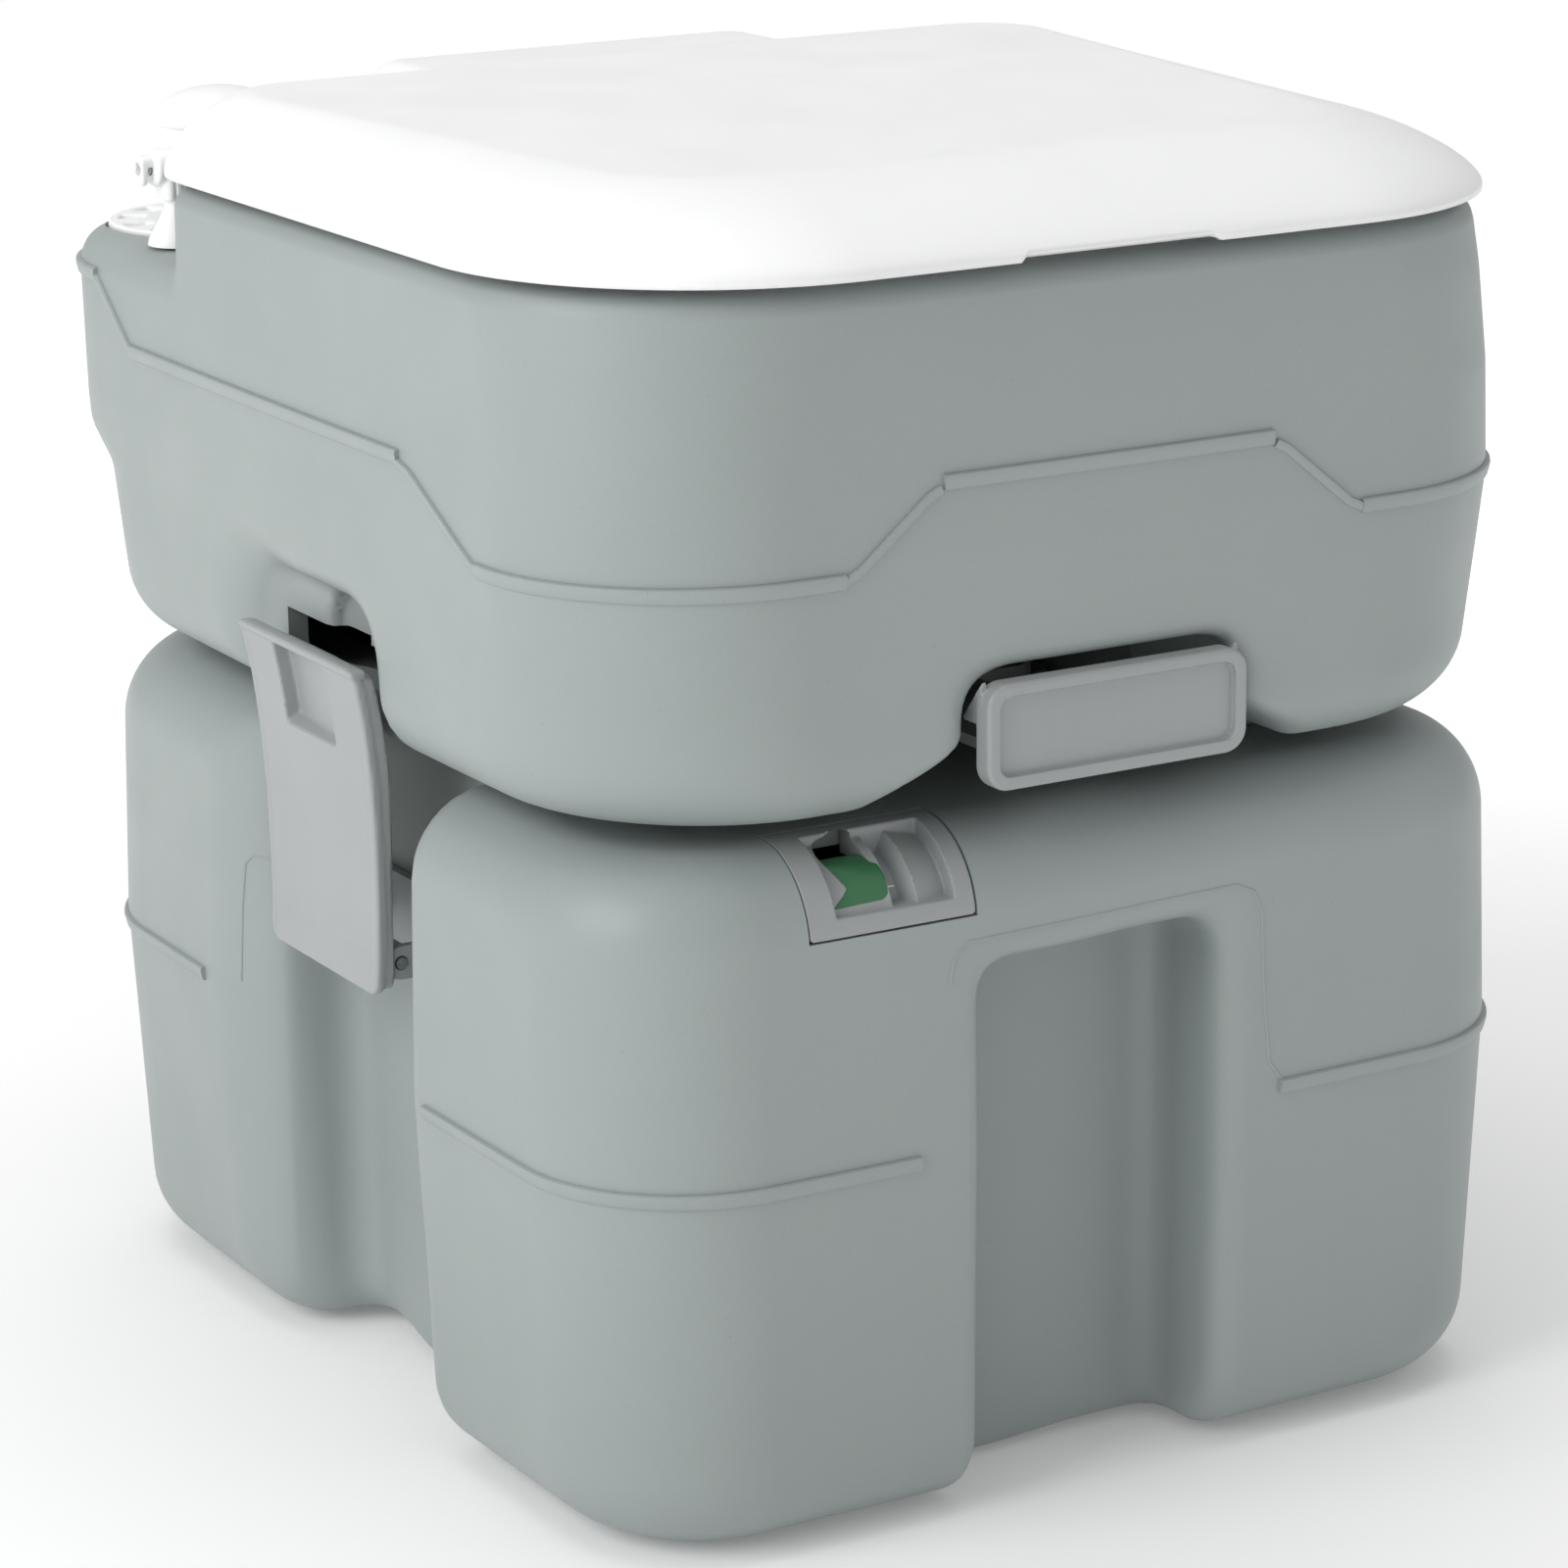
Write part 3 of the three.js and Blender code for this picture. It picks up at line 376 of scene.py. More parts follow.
def metal(name):
    mat = bpy.data.materials.new(name)
    mat.use_nodes = True
    nodes, links = mat.node_tree.nodes, mat.node_tree.links
    shader = nodes["Principled BSDF"]
    shader.inputs["Metallic"].default_value = 1.0
    coord = nodes.new("ShaderNodeTexCoord")
    noise = nodes.new("ShaderNodeTexNoise")
    noise.inputs["Scale"].default_value = 900.0
    ramp = nodes.new("ShaderNodeValToRGB")
    ramp.color_ramp.elements[0].color = (0.42, 0.43, 0.44, 1)
    ramp.color_ramp.elements[1].color = (0.62, 0.63, 0.64, 1)
    rough = nodes.new("ShaderNodeMapRange")
    rough.inputs["To Min"].default_value, rough.inputs["To Max"].default_value = 0.22, 0.42
    bump = nodes.new("ShaderNodeBump")
    bump.inputs["Strength"].default_value, bump.inputs["Distance"].default_value = 0.2, 0.0001
    links.new(coord.outputs["Object"], noise.inputs["Vector"])
    links.new(noise.outputs["Fac"], ramp.inputs["Fac"])
    links.new(ramp.outputs["Color"], shader.inputs["Base Color"])
    links.new(noise.outputs["Fac"], rough.inputs["Value"])
    links.new(rough.outputs["Result"], shader.inputs["Roughness"])
    links.new(noise.outputs["Fac"], bump.inputs["Height"])
    links.new(bump.outputs["Normal"], shader.inputs["Normal"])
    return mat


GREY = plastic("tank_hdpe", (0.315, 0.355, 0.349), 0.46, speck=0.45)
TRIM = plastic("trim_plastic", (0.335, 0.352, 0.352), 0.42, speck=0.15, tint=0.015, streak=0.12)
WHITE = plastic("white_plastic", (0.88, 0.882, 0.884), 0.45, speck=0.08, tint=0.01)
GREEN = plastic("green_indicator", (0.04, 0.17, 0.07), 0.35, speck=0.05, coat=0.2)
RUBBER = plastic("seal_rubber", (0.022, 0.023, 0.025), 0.62, speck=0.2, tint=0.08)
FOAM = plastic("float_foam", (0.75, 0.72, 0.62), 0.75, grain=0.8, speck=0.5, tint=0.05)
TUBE = plastic("clear_tube", (0.70, 0.76, 0.75), 0.22, speck=0.05)
STEEL = metal("brushed_steel")


def own(piece, body, material, slot, *nodes):
    """Gives a piece its body and material, and hides the CAD nodes it stands for. slot is not used."""
    piece.data.materials.clear()
    piece.data.materials.append(material)
    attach(piece, body)
    if nodes:
        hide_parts(*nodes)
    return piece


# ---------------------------------------------------------------- fresh-water tank

INNER = 7.0  # drawn wall of the tanks


def fresh_outer(x, y, z):
    upper = 205.5 + (z - 300) * 0.085
    lower = 181 + (z - 240) * 0.18
    rear = lower + (np.minimum(upper, FRESH_REAR) - lower) * ease((z - 285) / 16)
    front = 207 - 0.02 * np.abs(z - 309)
    half_y, mid_y = (rear + front) / 2, (rear - front) / 2
    half_x = FRESH_HALF - 0.02 * np.maximum(z - 309, 0) - 0.035 * np.maximum(309 - z, 0)
    yc = y - mid_y
    front_corner = np.interp(z, [229, 260, 300, 340, 370, 392], [80, 74, 66, 66, 71, 78])
    d = rect(
        x * (1 + 0.014 * (yc / half_y) ** 2), yc * (1 + 0.014 * (x / half_x) ** 2),
        half_x, half_y, np.where(yc < 0, front_corner, FRESH_CORNER),
    )
    high = z > 310
    d = slab(d, np.where(high, z - 392, 229 - z), np.where(high, 8.0, 22.0))
    # deck at the rear
    gone = smax(DECK_FRONT - y, DECK_Z - z, 8)
    d = smax(d, -gone, 13)
    # plinth that stands on the waste tank
    plinth = slab(rect(x, y + 21, 130, 129, 20), span(z, 222.3, 245), 2)
    d = smin(d, plinth, 3)
    return d


def fresh_cuts(x, y, z):
    """Distances to the latch recesses and to the hollows under the fresh-water tank."""
    ax = np.abs(x)
    t = ax - 165.5
    back = 36 + 0.9 * t
    latch = smax(-60 - y, (y - back) / 1.35, 6)
    latch = smax(latch, (z - 274.5 - 0.45 * t) / 1.1, 24)
    latch = smax(latch, -t, 4)
    scoop = drum(y + 22, z - 262, ax, 13, 160, 180, 3)
    latch = smin(latch, scoop, 3)
    half = 50 + 25 * ease((252 - z) / 22)
    notch = smax((np.abs(x) - half) / 1.2, z - 271, 16)
    notch = np.maximum(notch, y + 119)
    pocket = slab(rect(x, y + 39, 71, 101, 12), z - 272, 4)
    return latch, smin(notch, pocket, 4)


def fresh_body(x, y, z):
    d = fresh_outer(x, y, z)
    latch, under = fresh_cuts(x, y, z)
    d = smax(d, -latch, 5 + 7 * ease((y + 10) / 45))
    d = smax(d, -under, 7)
    return d


BOWL_LINE = np.array([
    [247, 39.5], [262, 39.5], [274, 46], [296, 62], [332, 86], [370, 98], [391, 100], [420, 100],
])


def bowl_field(x, y, z, grow):
    share = np.clip((z - BOWL_THROAT_Z) / BOWL_DEPTH, 0, 1)
    mid = OUTLET_Y - BOWL_SHIFT * share
    r = np.interp(z, BOWL_LINE[:, 0], BOWL_LINE[:, 1]) + grow
    return (np.hypot(x, (y - mid) / (1 + BOWL_STRETCH * share)) - r) * 0.8


def fresh_shell(x, y, z):
    d = fresh_body(x, y, z)
    bowl = bowl_field(x, y, z, 4)
    d = smax(d, -bowl, 2)
    return smax(d, -(d + INNER), 1)


def bent_path(corners, step=4.0):
    """Points a step apart along straight runs between corners."""
    out = []
    for a, b in zip(corners[:-1], corners[1:]):
        a, b = np.array(a, float), np.array(b, float)
        n = max(int(np.linalg.norm(b - a) / step), 1)
        out += [a + (b - a) * i / n for i in range(n)]
    out.append(np.array(corners[-1], float))
    return out


def round_corner(cx, cy, r, a0, a1, z, n=20):
    a = np.radians(a0 + (a1 - a0) * np.linspace(0, 1, n))
    return [(cx + r * math.cos(q), cy + r * math.sin(q), z) for q in a]


def rear_band(half, rear, corner, start, z):
    """A level path round the rear of a tank, from one side to the other."""
    x, y = half - corner, rear - corner
    path = bent_path([(-half, start, z), (-half, y, z)])
    path += round_corner(-x, y, corner, 180, 90, z)[1:]
    path += bent_path([(-x, rear, z), (x, rear, z)])[1:]
    path += round_corner(x, y, corner, 90, 0, z)[1:]
    path += bent_path([(half, y, z), (half, start, z)])[1:]
    return path


WIDE = [[-2.2, -1.2], [-2.2, 0.7], [-1.7, 1.1], [1.2, 1.7], [2.1, 1.5], [2.4, 1.0], [2.4, -1.2]]
THIN = [[-1.4, -1.2], [-1.4, 0.5], [-1.0, 0.9], [0.6, 1.3], [1.2, 1.2], [1.5, 0.7], [1.5, -1.2]]


def fresh_ribs():
    ribs = []
    for s in (-1, 1):
        # low run round the front corner, on to the side
        run = bent_path([(s * 93, TANK_FRONT, RIB_LOW), (s * 111.5, TANK_FRONT, RIB_LOW)])
        end = -180 if s < 0 else 0
        run += round_corner(s * 111.5, -141, 66, -90, end, RIB_LOW)[1:]
        run += bent_path([(s * FRESH_HALF, -141, RIB_LOW), (s * FRESH_HALF, -134, RIB_LOW)])[1:]
        ribs.append((run, WIDE))
        # front diagonal
        diag = [(94, 304.4), (88, 307.2), (64, 326.7), (60, 328.7)]
        ribs.append((bent_path([(s * x, TANK_FRONT, z) for x, z in diag], 3), THIN))
        # side diagonal from low to middle
        diag = [(-134.5, 304.4), (-129, 307.2), (-92, 326.5), (-84, 328.7)]
        ribs.append((bent_path([(s * FRESH_HALF, y, z) for y, z in diag], 3), THIN))
        middle = [(s * FRESH_HALF, -85, RIB_MIDDLE), (s * FRESH_HALF, 118, RIB_MIDDLE)]
        ribs.append((bent_path(middle), WIDE))
        # side diagonal from middle to high
        diag = [(117, 329.9), (121, 332.7), (143, 348.7), (147, 351.3)]
        ribs.append((bent_path([(s * FRESH_HALF, y, z) for y, z in diag], 3), THIN))
    ribs.append((bent_path([(-59, TANK_FRONT, RIB_FRONT), (59, TANK_FRONT, RIB_FRONT)]), WIDE))
    # rear band round the back
    ribs.append((rear_band(FRESH_HALF, FRESH_REAR, FRESH_CORNER, 146, RIB_HIGH), WIDE))
    return ribs


def add_ribs(target, sdf, ribs):
    for i, (path, section) in enumerate(ribs):
        path = np.array(path)
        # out x along has to point up, or the section would be upside down
        mid = len(path) // 2
        p = project(sdf, path[mid:mid + 2].copy() if mid + 2 <= len(path) else path[:2].copy(), 3, 6)
        out = gradient(sdf, p, 0.05)[0]
        up = np.cross(out, p[1] - p[0])[2]
        if up < 0:
            path = path[::-1]
        combine(target, strip(f"rib_{i}", sdf, path, section), "UNION")


fresh = net_object("fresh_tank_form", fresh_shell, (-179, -209, 222), (179, 212, 393), 3.0)
add_ribs(fresh, fresh_body, fresh_ribs())
for tool in (
    cylinder("z", PUMP_X, DECK_CAP_Y, 361.2, 390, 40.2, 96),
    cylinder("z", PUMP_X, DECK_CAP_Y, 330, 390, 28.5), cylinder("z", FILL_X, DECK_CAP_Y, 330, 390, 29.0),
    cylinder("z", -HINGE_X, HINGE_Y, 345, 380, 4), cylinder("z", HINGE_X, HINGE_Y, 345, 380, 4),
    cylinder("y", 0, 370, 30, 78, 6.2),
    cuboid(-172, -150, -46, 24, 247, 260.5), cuboid(150, 172, -46, 24, 247, 260.5),
):
    combine(fresh, tool, "DIFFERENCE")
shade(fresh, fresh_shell)
own(fresh, "fresh_unit", GREY, "grey_tank", "fresh_tank")


# ---------------------------------------------------------------- waste tank

def waste_outer(x, y, z):
    half_x = WASTE_HALF - 0.022 * np.maximum(z - 124, 0) - 0.045 * np.maximum(124 - z, 0)
    shift = 0.02 * np.abs(z - 124)
    half_y, mid_y = 204 - shift, -3
    yc = y - mid_y
    d = rect(
        x * (1 + 0.012 * (yc / half_y) ** 2), yc * (1 + 0.012 * (x / half_x) ** 2),
        half_x, half_y, np.where(yc > 0, WASTE_REAR_CORNER, WASTE_CORNER),
    )
    high = z > 110
    d = slab(d, np.where(high, z - 222, 2 - z), np.where(high, 28.0, 25.0))
    # low pads under the base
    pad = rect(np.abs(x) - 92, np.abs(y + 3) - 132, 40, 42, 20)
    pad = slab(pad, span(z, 0.4, 30), 4)
    return np.where(z > 40, d, smin(d, pad, 4))


def waste_body(x, y, z):
    ax = np.abs(x)
    d = waste_outer(x, y, z)
    front = smax(np.abs(x + 1) - 44.5, z - 180, 14)
    front = smax(front, y + 167, 12)
    d = smax(d, -front, 6 + 5 * ease((x + 20) / 40))
    # side recess with a broad bend at its rear
    t = ax - 137
    back = 38 + 0.18 * t + 14 * ease((t - 24) / 16)
    side = smax(-71 - y, y - back, 4)
    side = smax(side, -t, 12)
    d = smax(d, -side, 9 + 12 * ease((y + 10) / 40))
    spout = slab(rect(x, y - 250, 100, 100, 14), 166 - z, 6)
    d = smax(d, -spout, 8)
    return d


def waste_shell(x, y, z):
    d = waste_body(x, y, z)
    return smax(d, -(d + INNER), 1)


def waste_ribs():
    ribs = []
    x, y, z = WASTE_HALF - WASTE_CORNER, TANK_FRONT + WASTE_CORNER, RIB_WASTE
    for s in (-1, 1):
        inner = 68 if s < 0 else 65
        run = bent_path([(s * inner, TANK_FRONT, z), (s * x, TANK_FRONT, z)])
        end = -180 if s < 0 else 0
        run += round_corner(s * x, y, WASTE_CORNER, -90, end, z)[1:]
        run += bent_path([(s * WASTE_HALF, y, z), (s * WASTE_HALF, -84, z)])[1:]
        ribs.append((run, WIDE))
    ribs.append((rear_band(WASTE_HALF, WASTE_REAR, WASTE_REAR_CORNER, 83, z), WIDE))
    return ribs


LINE = [[-0.6, -0.7], [-0.45, 0.15], [0.0, 0.4], [0.45, 0.15], [0.6, -0.7]]


def waste_lines():
    """Fine raised lines left by the mould's inserts."""
    lines = []
    left = [(-57, 176), (-55.5, 183), (-50, 188)]
    right = [(48, 190), (55, 187), (58, 180), (59, 150), (61, 130), (66, 123)]
    frame_line = bent_path([(x, TANK_FRONT, z) for x, z in left], 2)
    frame_line += bent_path([(-50, TANK_FRONT, 188), (48, TANK_FRONT, 190)])[1:]
    frame_line += bent_path([(x, TANK_FRONT, z) for x, z in right], 2)[1:]
    lines.append((frame_line, LINE))
    for s in (-1, 1):
        flank = [(s * 173, 60, 124), (s * 171, 59, 150), (s * 170, 57, 166), (s * 168, 54, 169)]
        flank += [(s * 158, 44, 169.5), (s * 148, 40, 169)]
        lines.append((bent_path(flank, 2), LINE))
    return lines


waste = net_object("waste_tank_form", waste_shell, (-177, -209, 0), (177, 203, 222), 3.0)
add_ribs(waste, waste_body, waste_ribs() + waste_lines())
for tool in (
    cylinder("z", 0, OUTLET_Y, 205, 240, 45, 96), cylinder("z", SPOUT_X, SPOUT_Y, 150, 180, 14.4),
    cylinder("z", RELIEF_X, RELIEF_Y, 205, 240, 7.4), cuboid(-105.3, -46.7, -230, -173.7, 195.7, 240),
):
    combine(waste, tool, "DIFFERENCE")
shade(waste, waste_shell)
own(waste, "waste_unit", GREY, "grey_tank", "waste_tank")


# ---------------------------------------------------------------- lid and seat

def lid_form(x, y, z):
    """A dome with a broad front shoulder and a tight rear one, and a tongue over the hinge line."""
    yc = y + 48
    d = rect(x, yc, 179.5, 164, np.where(yc < 0, 92.0, 50.0))
    forward = np.clip((116 - y) / 328, 0, 1)
    shoulder = 24 + 38 * forward
    height = LID_TOP - 3 * (94 - y) / 328 - SPRING_Z
    a = np.maximum(d + shoulder, 0) / shoulder
    b = np.maximum(z - SPRING_Z, 0) / height
    dome = ((a ** 1.5 + b ** 1.5) ** (2 / 3) - 1) * 24
    tongue = rect(x + 2, y - 105, 78, 38, 16)
    crown = 418 - 5 * ease((100 - y) / 25)
    ta = np.maximum(tongue + 12, 0) / 12
    tb = np.maximum(z - crown + 12, 0) / 12
    tongue = (np.hypot(ta, tb) - 1) * 12
    d = np.maximum(smin(dome, tongue, 4), z - 419.97)
    return np.maximum(d, 380 - z)


def sliced(piece, z):
    """Cuts away what is below a height and leaves the cut open."""
    work = bmesh.new()
    work.from_mesh(piece.data)
    bmesh.ops.bisect_plane(
        work, geom=work.verts[:] + work.edges[:] + work.faces[:], dist=1e-6,
        plane_co=(0, 0, z * MM), plane_no=(0, 0, 1), clear_inner=True,
    )
    work.to_mesh(piece.data)
    work.free()


def raise_rim(piece, half, y_max, z):
    """Lifts the open rim between two slanted ends, as a finger notch in the front edge."""
    work = bmesh.new()
    work.from_mesh(piece.data)

    def near():
        faces = [
            f for f in work.faces
            if f.calc_center_median().y < y_max * MM and f.calc_center_median().z < (z + 6) * MM
            and abs(f.calc_center_median().x) < (half + 12) * MM
        ]
        edges = {e for f in faces for e in f.edges}
        return faces + list(edges) + list({v for e in edges for v in e.verts})

    planes = [((0, 0, z), (0, 0, 1)), ((-half, 0, z), (-1, 0, 1)), ((half, 0, z), (1, 0, 1))]
    for place, normal in planes:
        bmesh.ops.bisect_plane(
            work, geom=near(), dist=1e-6, plane_co=Vector(place) * MM, plane_no=Vector(normal),
        )
    gone = []
    for f in work.faces:
        c = f.calc_center_median() / MM
        if c.y < y_max and c.z < z and abs(c.x) < half + (z - c.z):
            gone.append(f)
    bmesh.ops.delete(work, geom=gone, context="FACES")
    work.to_mesh(piece.data)
    work.free()


lid = net_object("lid_form", lid_form, (-181, -213, 384), (181, 145, 421), 2.0)
sliced(lid, 394)
raise_rim(lid, 33, -190, 396.6)
thick = lid.modifiers.new("wall", "SOLIDIFY")
thick.thickness, thick.offset = 0.003, -1.0
thick.use_rim = True
shade(lid, None, 40)
own(lid, "cover", WHITE, "white", "lid")


# ---------------------------------------------------------------- valve handle, latches and bezel

def handle_form(x, y, z):
    ax = np.abs(x)
    w = z - 251.5
    d = slab(rect(x, w, 47, 16.5, 7.5), span(y, -212, -204), 1.4)
    d = smax(d, -slab(rect(x, w, 42.8, 12.4, 4.5), y + 209.6, 0.4), 0.6)
    d = smax(d, -slab(rect(x, w, 44.8, 14.4, 5.5), -207.6 - y, 0.4), 0.6)
    channel = np.maximum(slab(rect(x, y + 197.5, 25, 11.5, 1.5), span(z, 234.2, 240.5), 0.8),
                         -np.maximum(ax - 20.3, z - 237.8))
    d = smin(d, channel, 0.8)
    fin = np.maximum(span(ax, 44.4, 46.6), np.maximum(255 - z, -207 - y))
    fin = np.maximum(fin, ((z - 265) + (y + 204) * 1.2) * 0.64)
    return smin(d, fin, 0.6)


handle = net_object("handle_form", handle_form, (-48, -212.5, 233), (48, -185, 269), 0.85)
shade(handle, handle_form, 40)
own(handle, "valve_slide", TRIM, "grey_trim", "valve_handle")

LATCH_CURVE = np.polyfit([150, 178, 208, 236, 258], [-175.5, -174.6, -175.2, -177.6, -181.8], 4)


def latch_form(x, y, z):
    t = x - np.polyval(LATCH_CURVE, np.clip(z, 148, 260))
    half = 39 + (z - 150) / 36
    yc = y + 15
    side = np.abs(yc) - half
    outline = smax(side, span(z, 150, 258), 6)
    d = slab(outline, span(t, 0, 3.0), 0.9)
    flange = np.maximum(smax(side, span(z, 151, 257), 6), -(side + 2.8))
    d = smin(d, slab(flange, np.maximum(-t, np.maximum(t - 7, x + 168.8)), 0.8), 1.0)
    lip = smax(side, span(z, 255.4, 258), 1.5)
    d = smin(d, slab(lip, span(t, -0.6, 5), 0.8), 1.2)
    # thumb pocket, deeper towards the rear
    depth = 5.4 + 0.06 * np.clip(y, -33, 3)
    box = smax(span(y, -34.5, 4.5), span(z, 225.5, 257), 3)
    d = smin(d, slab(box, span(t, 0, 7.0), 0.8), 0.8)
    pocket = smax(span(y, -33, 3), span(z, 228 + 0.5 * np.clip(t, 0, 6), 255), 2)
    pocket = smax(pocket, t - depth, 1.5)
    d = smax(d, -pocket, 0.9)
    barrel = drum(x + 166, z - 160, y, 5.5, -49, 19, 0.8)
    web = slab(np.maximum(span(y, -49, 19), span(z, 157.5, 162.5)), span(x, -174.5, -166), 0.8)
    return smin(d, smin(barrel, web, 2), 1.5)


def latch_mirror(x, y, z):
    return latch_form(-x, y, z)


for side, form, low, high in (
    ("left", latch_form, (-183.5, -58, 149), (-159, 28, 259)),
    ("right", latch_mirror, (159, -58, 149), (183.5, 28, 259)),
):
    latch = net_object(f"latch_form_{side}", form, low, high, 1.1)
    shade(latch, form, 40)
    own(latch, "latch_" + side[0], TRIM, "grey_trim", "latch_" + side)


def bezel_form(x, y, z):
    skin = waste_outer(x, y, z)
    plan = smax(smax(span(x, -104.7, -47.3), 196.3 - z, 1.5), y + 174.3, 1)
    d = slab(plan, span(skin, -9.5, 0.0), 0.5)
    well_floor = np.interp(x, [-95, -76.5, -74, -72.2, -68.5, -65.6, -54], [3, 3, 2.6, 8.3, 8.3, 2.4, 5.2])
    well = smax(smax(span(x, -95, -54), 202 - z, 1.2), y + 181, 1)
    d = smax(d, -smax(well, -(skin + well_floor), 0.8), 0.6)
    left = ((-94 - x) * 14 + (219 - z) * 9) / 16.6
    fan = smax(smax(left, x + 76.8, 1.5), 204.6 - z, 1.5)
    fan = smax(fan, np.hypot(x + 81, z - 205) - 16.5, 2)
    fan = np.maximum(fan, y + 172)
    return smax(d, -fan, 0.5)


bezel = net_object("bezel_form", bezel_form, (-105.5, -208, 195.5), (-46.5, -173, 223), 0.7)
shade(bezel, bezel_form, 40)
own(bezel, "waste_unit", TRIM, "grey_trim", "level_bezel")


def gauge_form(x, y, z):
    """The indicator drum, with one facet turned to the window."""
    v, w = y + 187, z - 202
    d = slab(np.hypot(v, w) - 12.9, span(x, -97.5, -74.2), 0.8)
    facet = -v * 0.62 + w * 0.62 - (x + 84) * 0.18 - 11.0
    return smax(d, facet, 0.6)


gauge = net_object("gauge_form", gauge_form, (-98, -200, 189), (-74, -174, 215), 0.8)
shade(gauge, gauge_form, 30)
own(gauge, "level_float", GREEN, "green_flag", "level_drum")


# ---------------------------------------------------------------- pump, filler, hinges

def knob_profile():
    rise = [(22 * math.cos(a), 399.6 + 10.6 * math.sin(a)) for a in np.linspace(0.12, math.pi / 2, 26)]
    lower = [(0, 400.8), (4.8, 400.8), (4.8, 395.2), (5.2, 395), (8.6, 395), (9.4, 395.6), (10.4, 397.6),
             (18.6, 396.8), (20.6, 397.2), (21.7, 398.2), (22, 399.4), (21.75, 400.2), (21.6, 400.35)]
    return lower + [(r, z) for r, z in rise if r < 21.5][:-1] + [(0, 410.2)]


knob = turned("knob_form", knob_profile(), PUMP_X, DECK_CAP_Y)
shade(knob, None, 30)
own(knob, "pump_plunger", WHITE, "white", "pump_knob")


def collar_form(x, y, z):
    u, v = x - PUMP_X, y - DECK_CAP_Y
    r, a = np.hypot(u, v), np.arctan2(v, u)
    top = 365.3 + 0.5 * ease((38 - r) / 30)
    d = slab(r - 39, np.maximum(361.3 - z, z - top), 1.0)
    hub = slab(r - 13.5 + 0.3 * np.maximum(z - 365, 0), span(z, 361.3, 370), 1.2)
    d = smin(d, hub, 2.5)
    turn = (a + math.pi / 12) % (math.pi / 6) - math.pi / 12
    slot = smax(np.abs(turn) * r - 0.13 * r, span(r, 26.5, 35.5), 1.5)
    d = smax(d, -np.maximum(slot, 363.4 - z), 0.8)
    return np.maximum(d, 5.3 - r)


collar = net_object("collar_form", collar_form, (-162, 121, 361), (-82, 201, 371), 0.85)
shade(collar, collar_form, 35)
own(collar, "fresh_unit", WHITE, "white", "pump_collar")


def filler_form(x, y, z):
    u, v = x - FILL_X, y - DECK_CAP_Y
    r, a = np.hypot(u, v), np.arctan2(v, u)
    grip = 0.7 * np.cos(18 * a)
    d = slab(r - 35.2 - grip * ease((z - 366) / 2), span(z, 366.3, 372.2), 1.5)
    plug = slab(np.maximum(r - 27.5, 22 - r), span(z, 352, 368), 0.6)
    d = smin(d, plug, 1)
    bar = slab(rect(u, v, 27, 5.2, 4), span(z, 370, 380), 2.2)
    dish = slab(rect(u, v, 29, 12, 10), 371.1 - z, 0.6)
    d = smax(d, -dish, 1)
    return smin(d, bar, 2.5)


filler = net_object("filler_form", filler_form, (85, 124, 351), (159, 198, 381), 1.1)
shade(filler, filler_form, 35)
own(filler, "filler_cap", WHITE, "white", "fill_cap")


def post_form(x, y, z):
    """The left hinge post: bell foot, neck, ribbed knuckle and hook."""
    u, v = x + HINGE_X, y - HINGE_Y
    r = np.hypot(u, v)
    levels = [352, 364.2, 364.4, 367, 370, 374, 378, 384]
    radius = np.interp(z, levels, [3.6, 3.6, 10.6, 10.1, 8.4, 6.2, 4.6, 4.3])
    d = slab((r - radius) * 0.8, span(z, 352, 384), 0.6)
    knuckle = slab(rect(u, v, 6.2, 6.2, 2.2), span(z, 380, 391), 0.7)
    ribs = np.abs((u + 1.6) % 3.2 - 1.6) - 0.5
    knuckle = smax(knuckle, -smax(np.maximum(ribs, 5.4 - np.abs(v)), 388 - z - 7.4, 0.6) * 0.9, 0.4)
    barrel = slab(np.hypot(v, z - HINGE_Z) - 6.4, span(x, -166, -151), 1.3)
    hook = slab(rect(v, z - 390.5, 3.4, 5.0, 2.4), span(x, -171, -164), 1.2)
    gap = slab(rect(v, z - 387.5, 5, 4.2, 1.5), span(x, -168.6, -166.6), 0.5)
    d = smin(smin(d, knuckle, 1.2), barrel, 0.8)
    d = smax(smin(d, hook, 0.8), -gap, 0.4)
    return np.maximum(d, 2.2 - np.hypot(v, z - HINGE_Z))


def post_mirror(x, y, z):
    return post_form(-x, y, z)


for side, form, x0, x1 in (("left", post_form, -172, -145), ("right", post_mirror, 145, 172)):
    post = net_object(f"post_form_{side}", form, (x0, 106, 351), (x1, 130, 399), 0.75)
    shade(post, form, 35)
    own(post, "fresh_unit", WHITE, "white", "hinge_post_" + side)


# ---------------------------------------------------------------- spout, relief button, bowl, seat

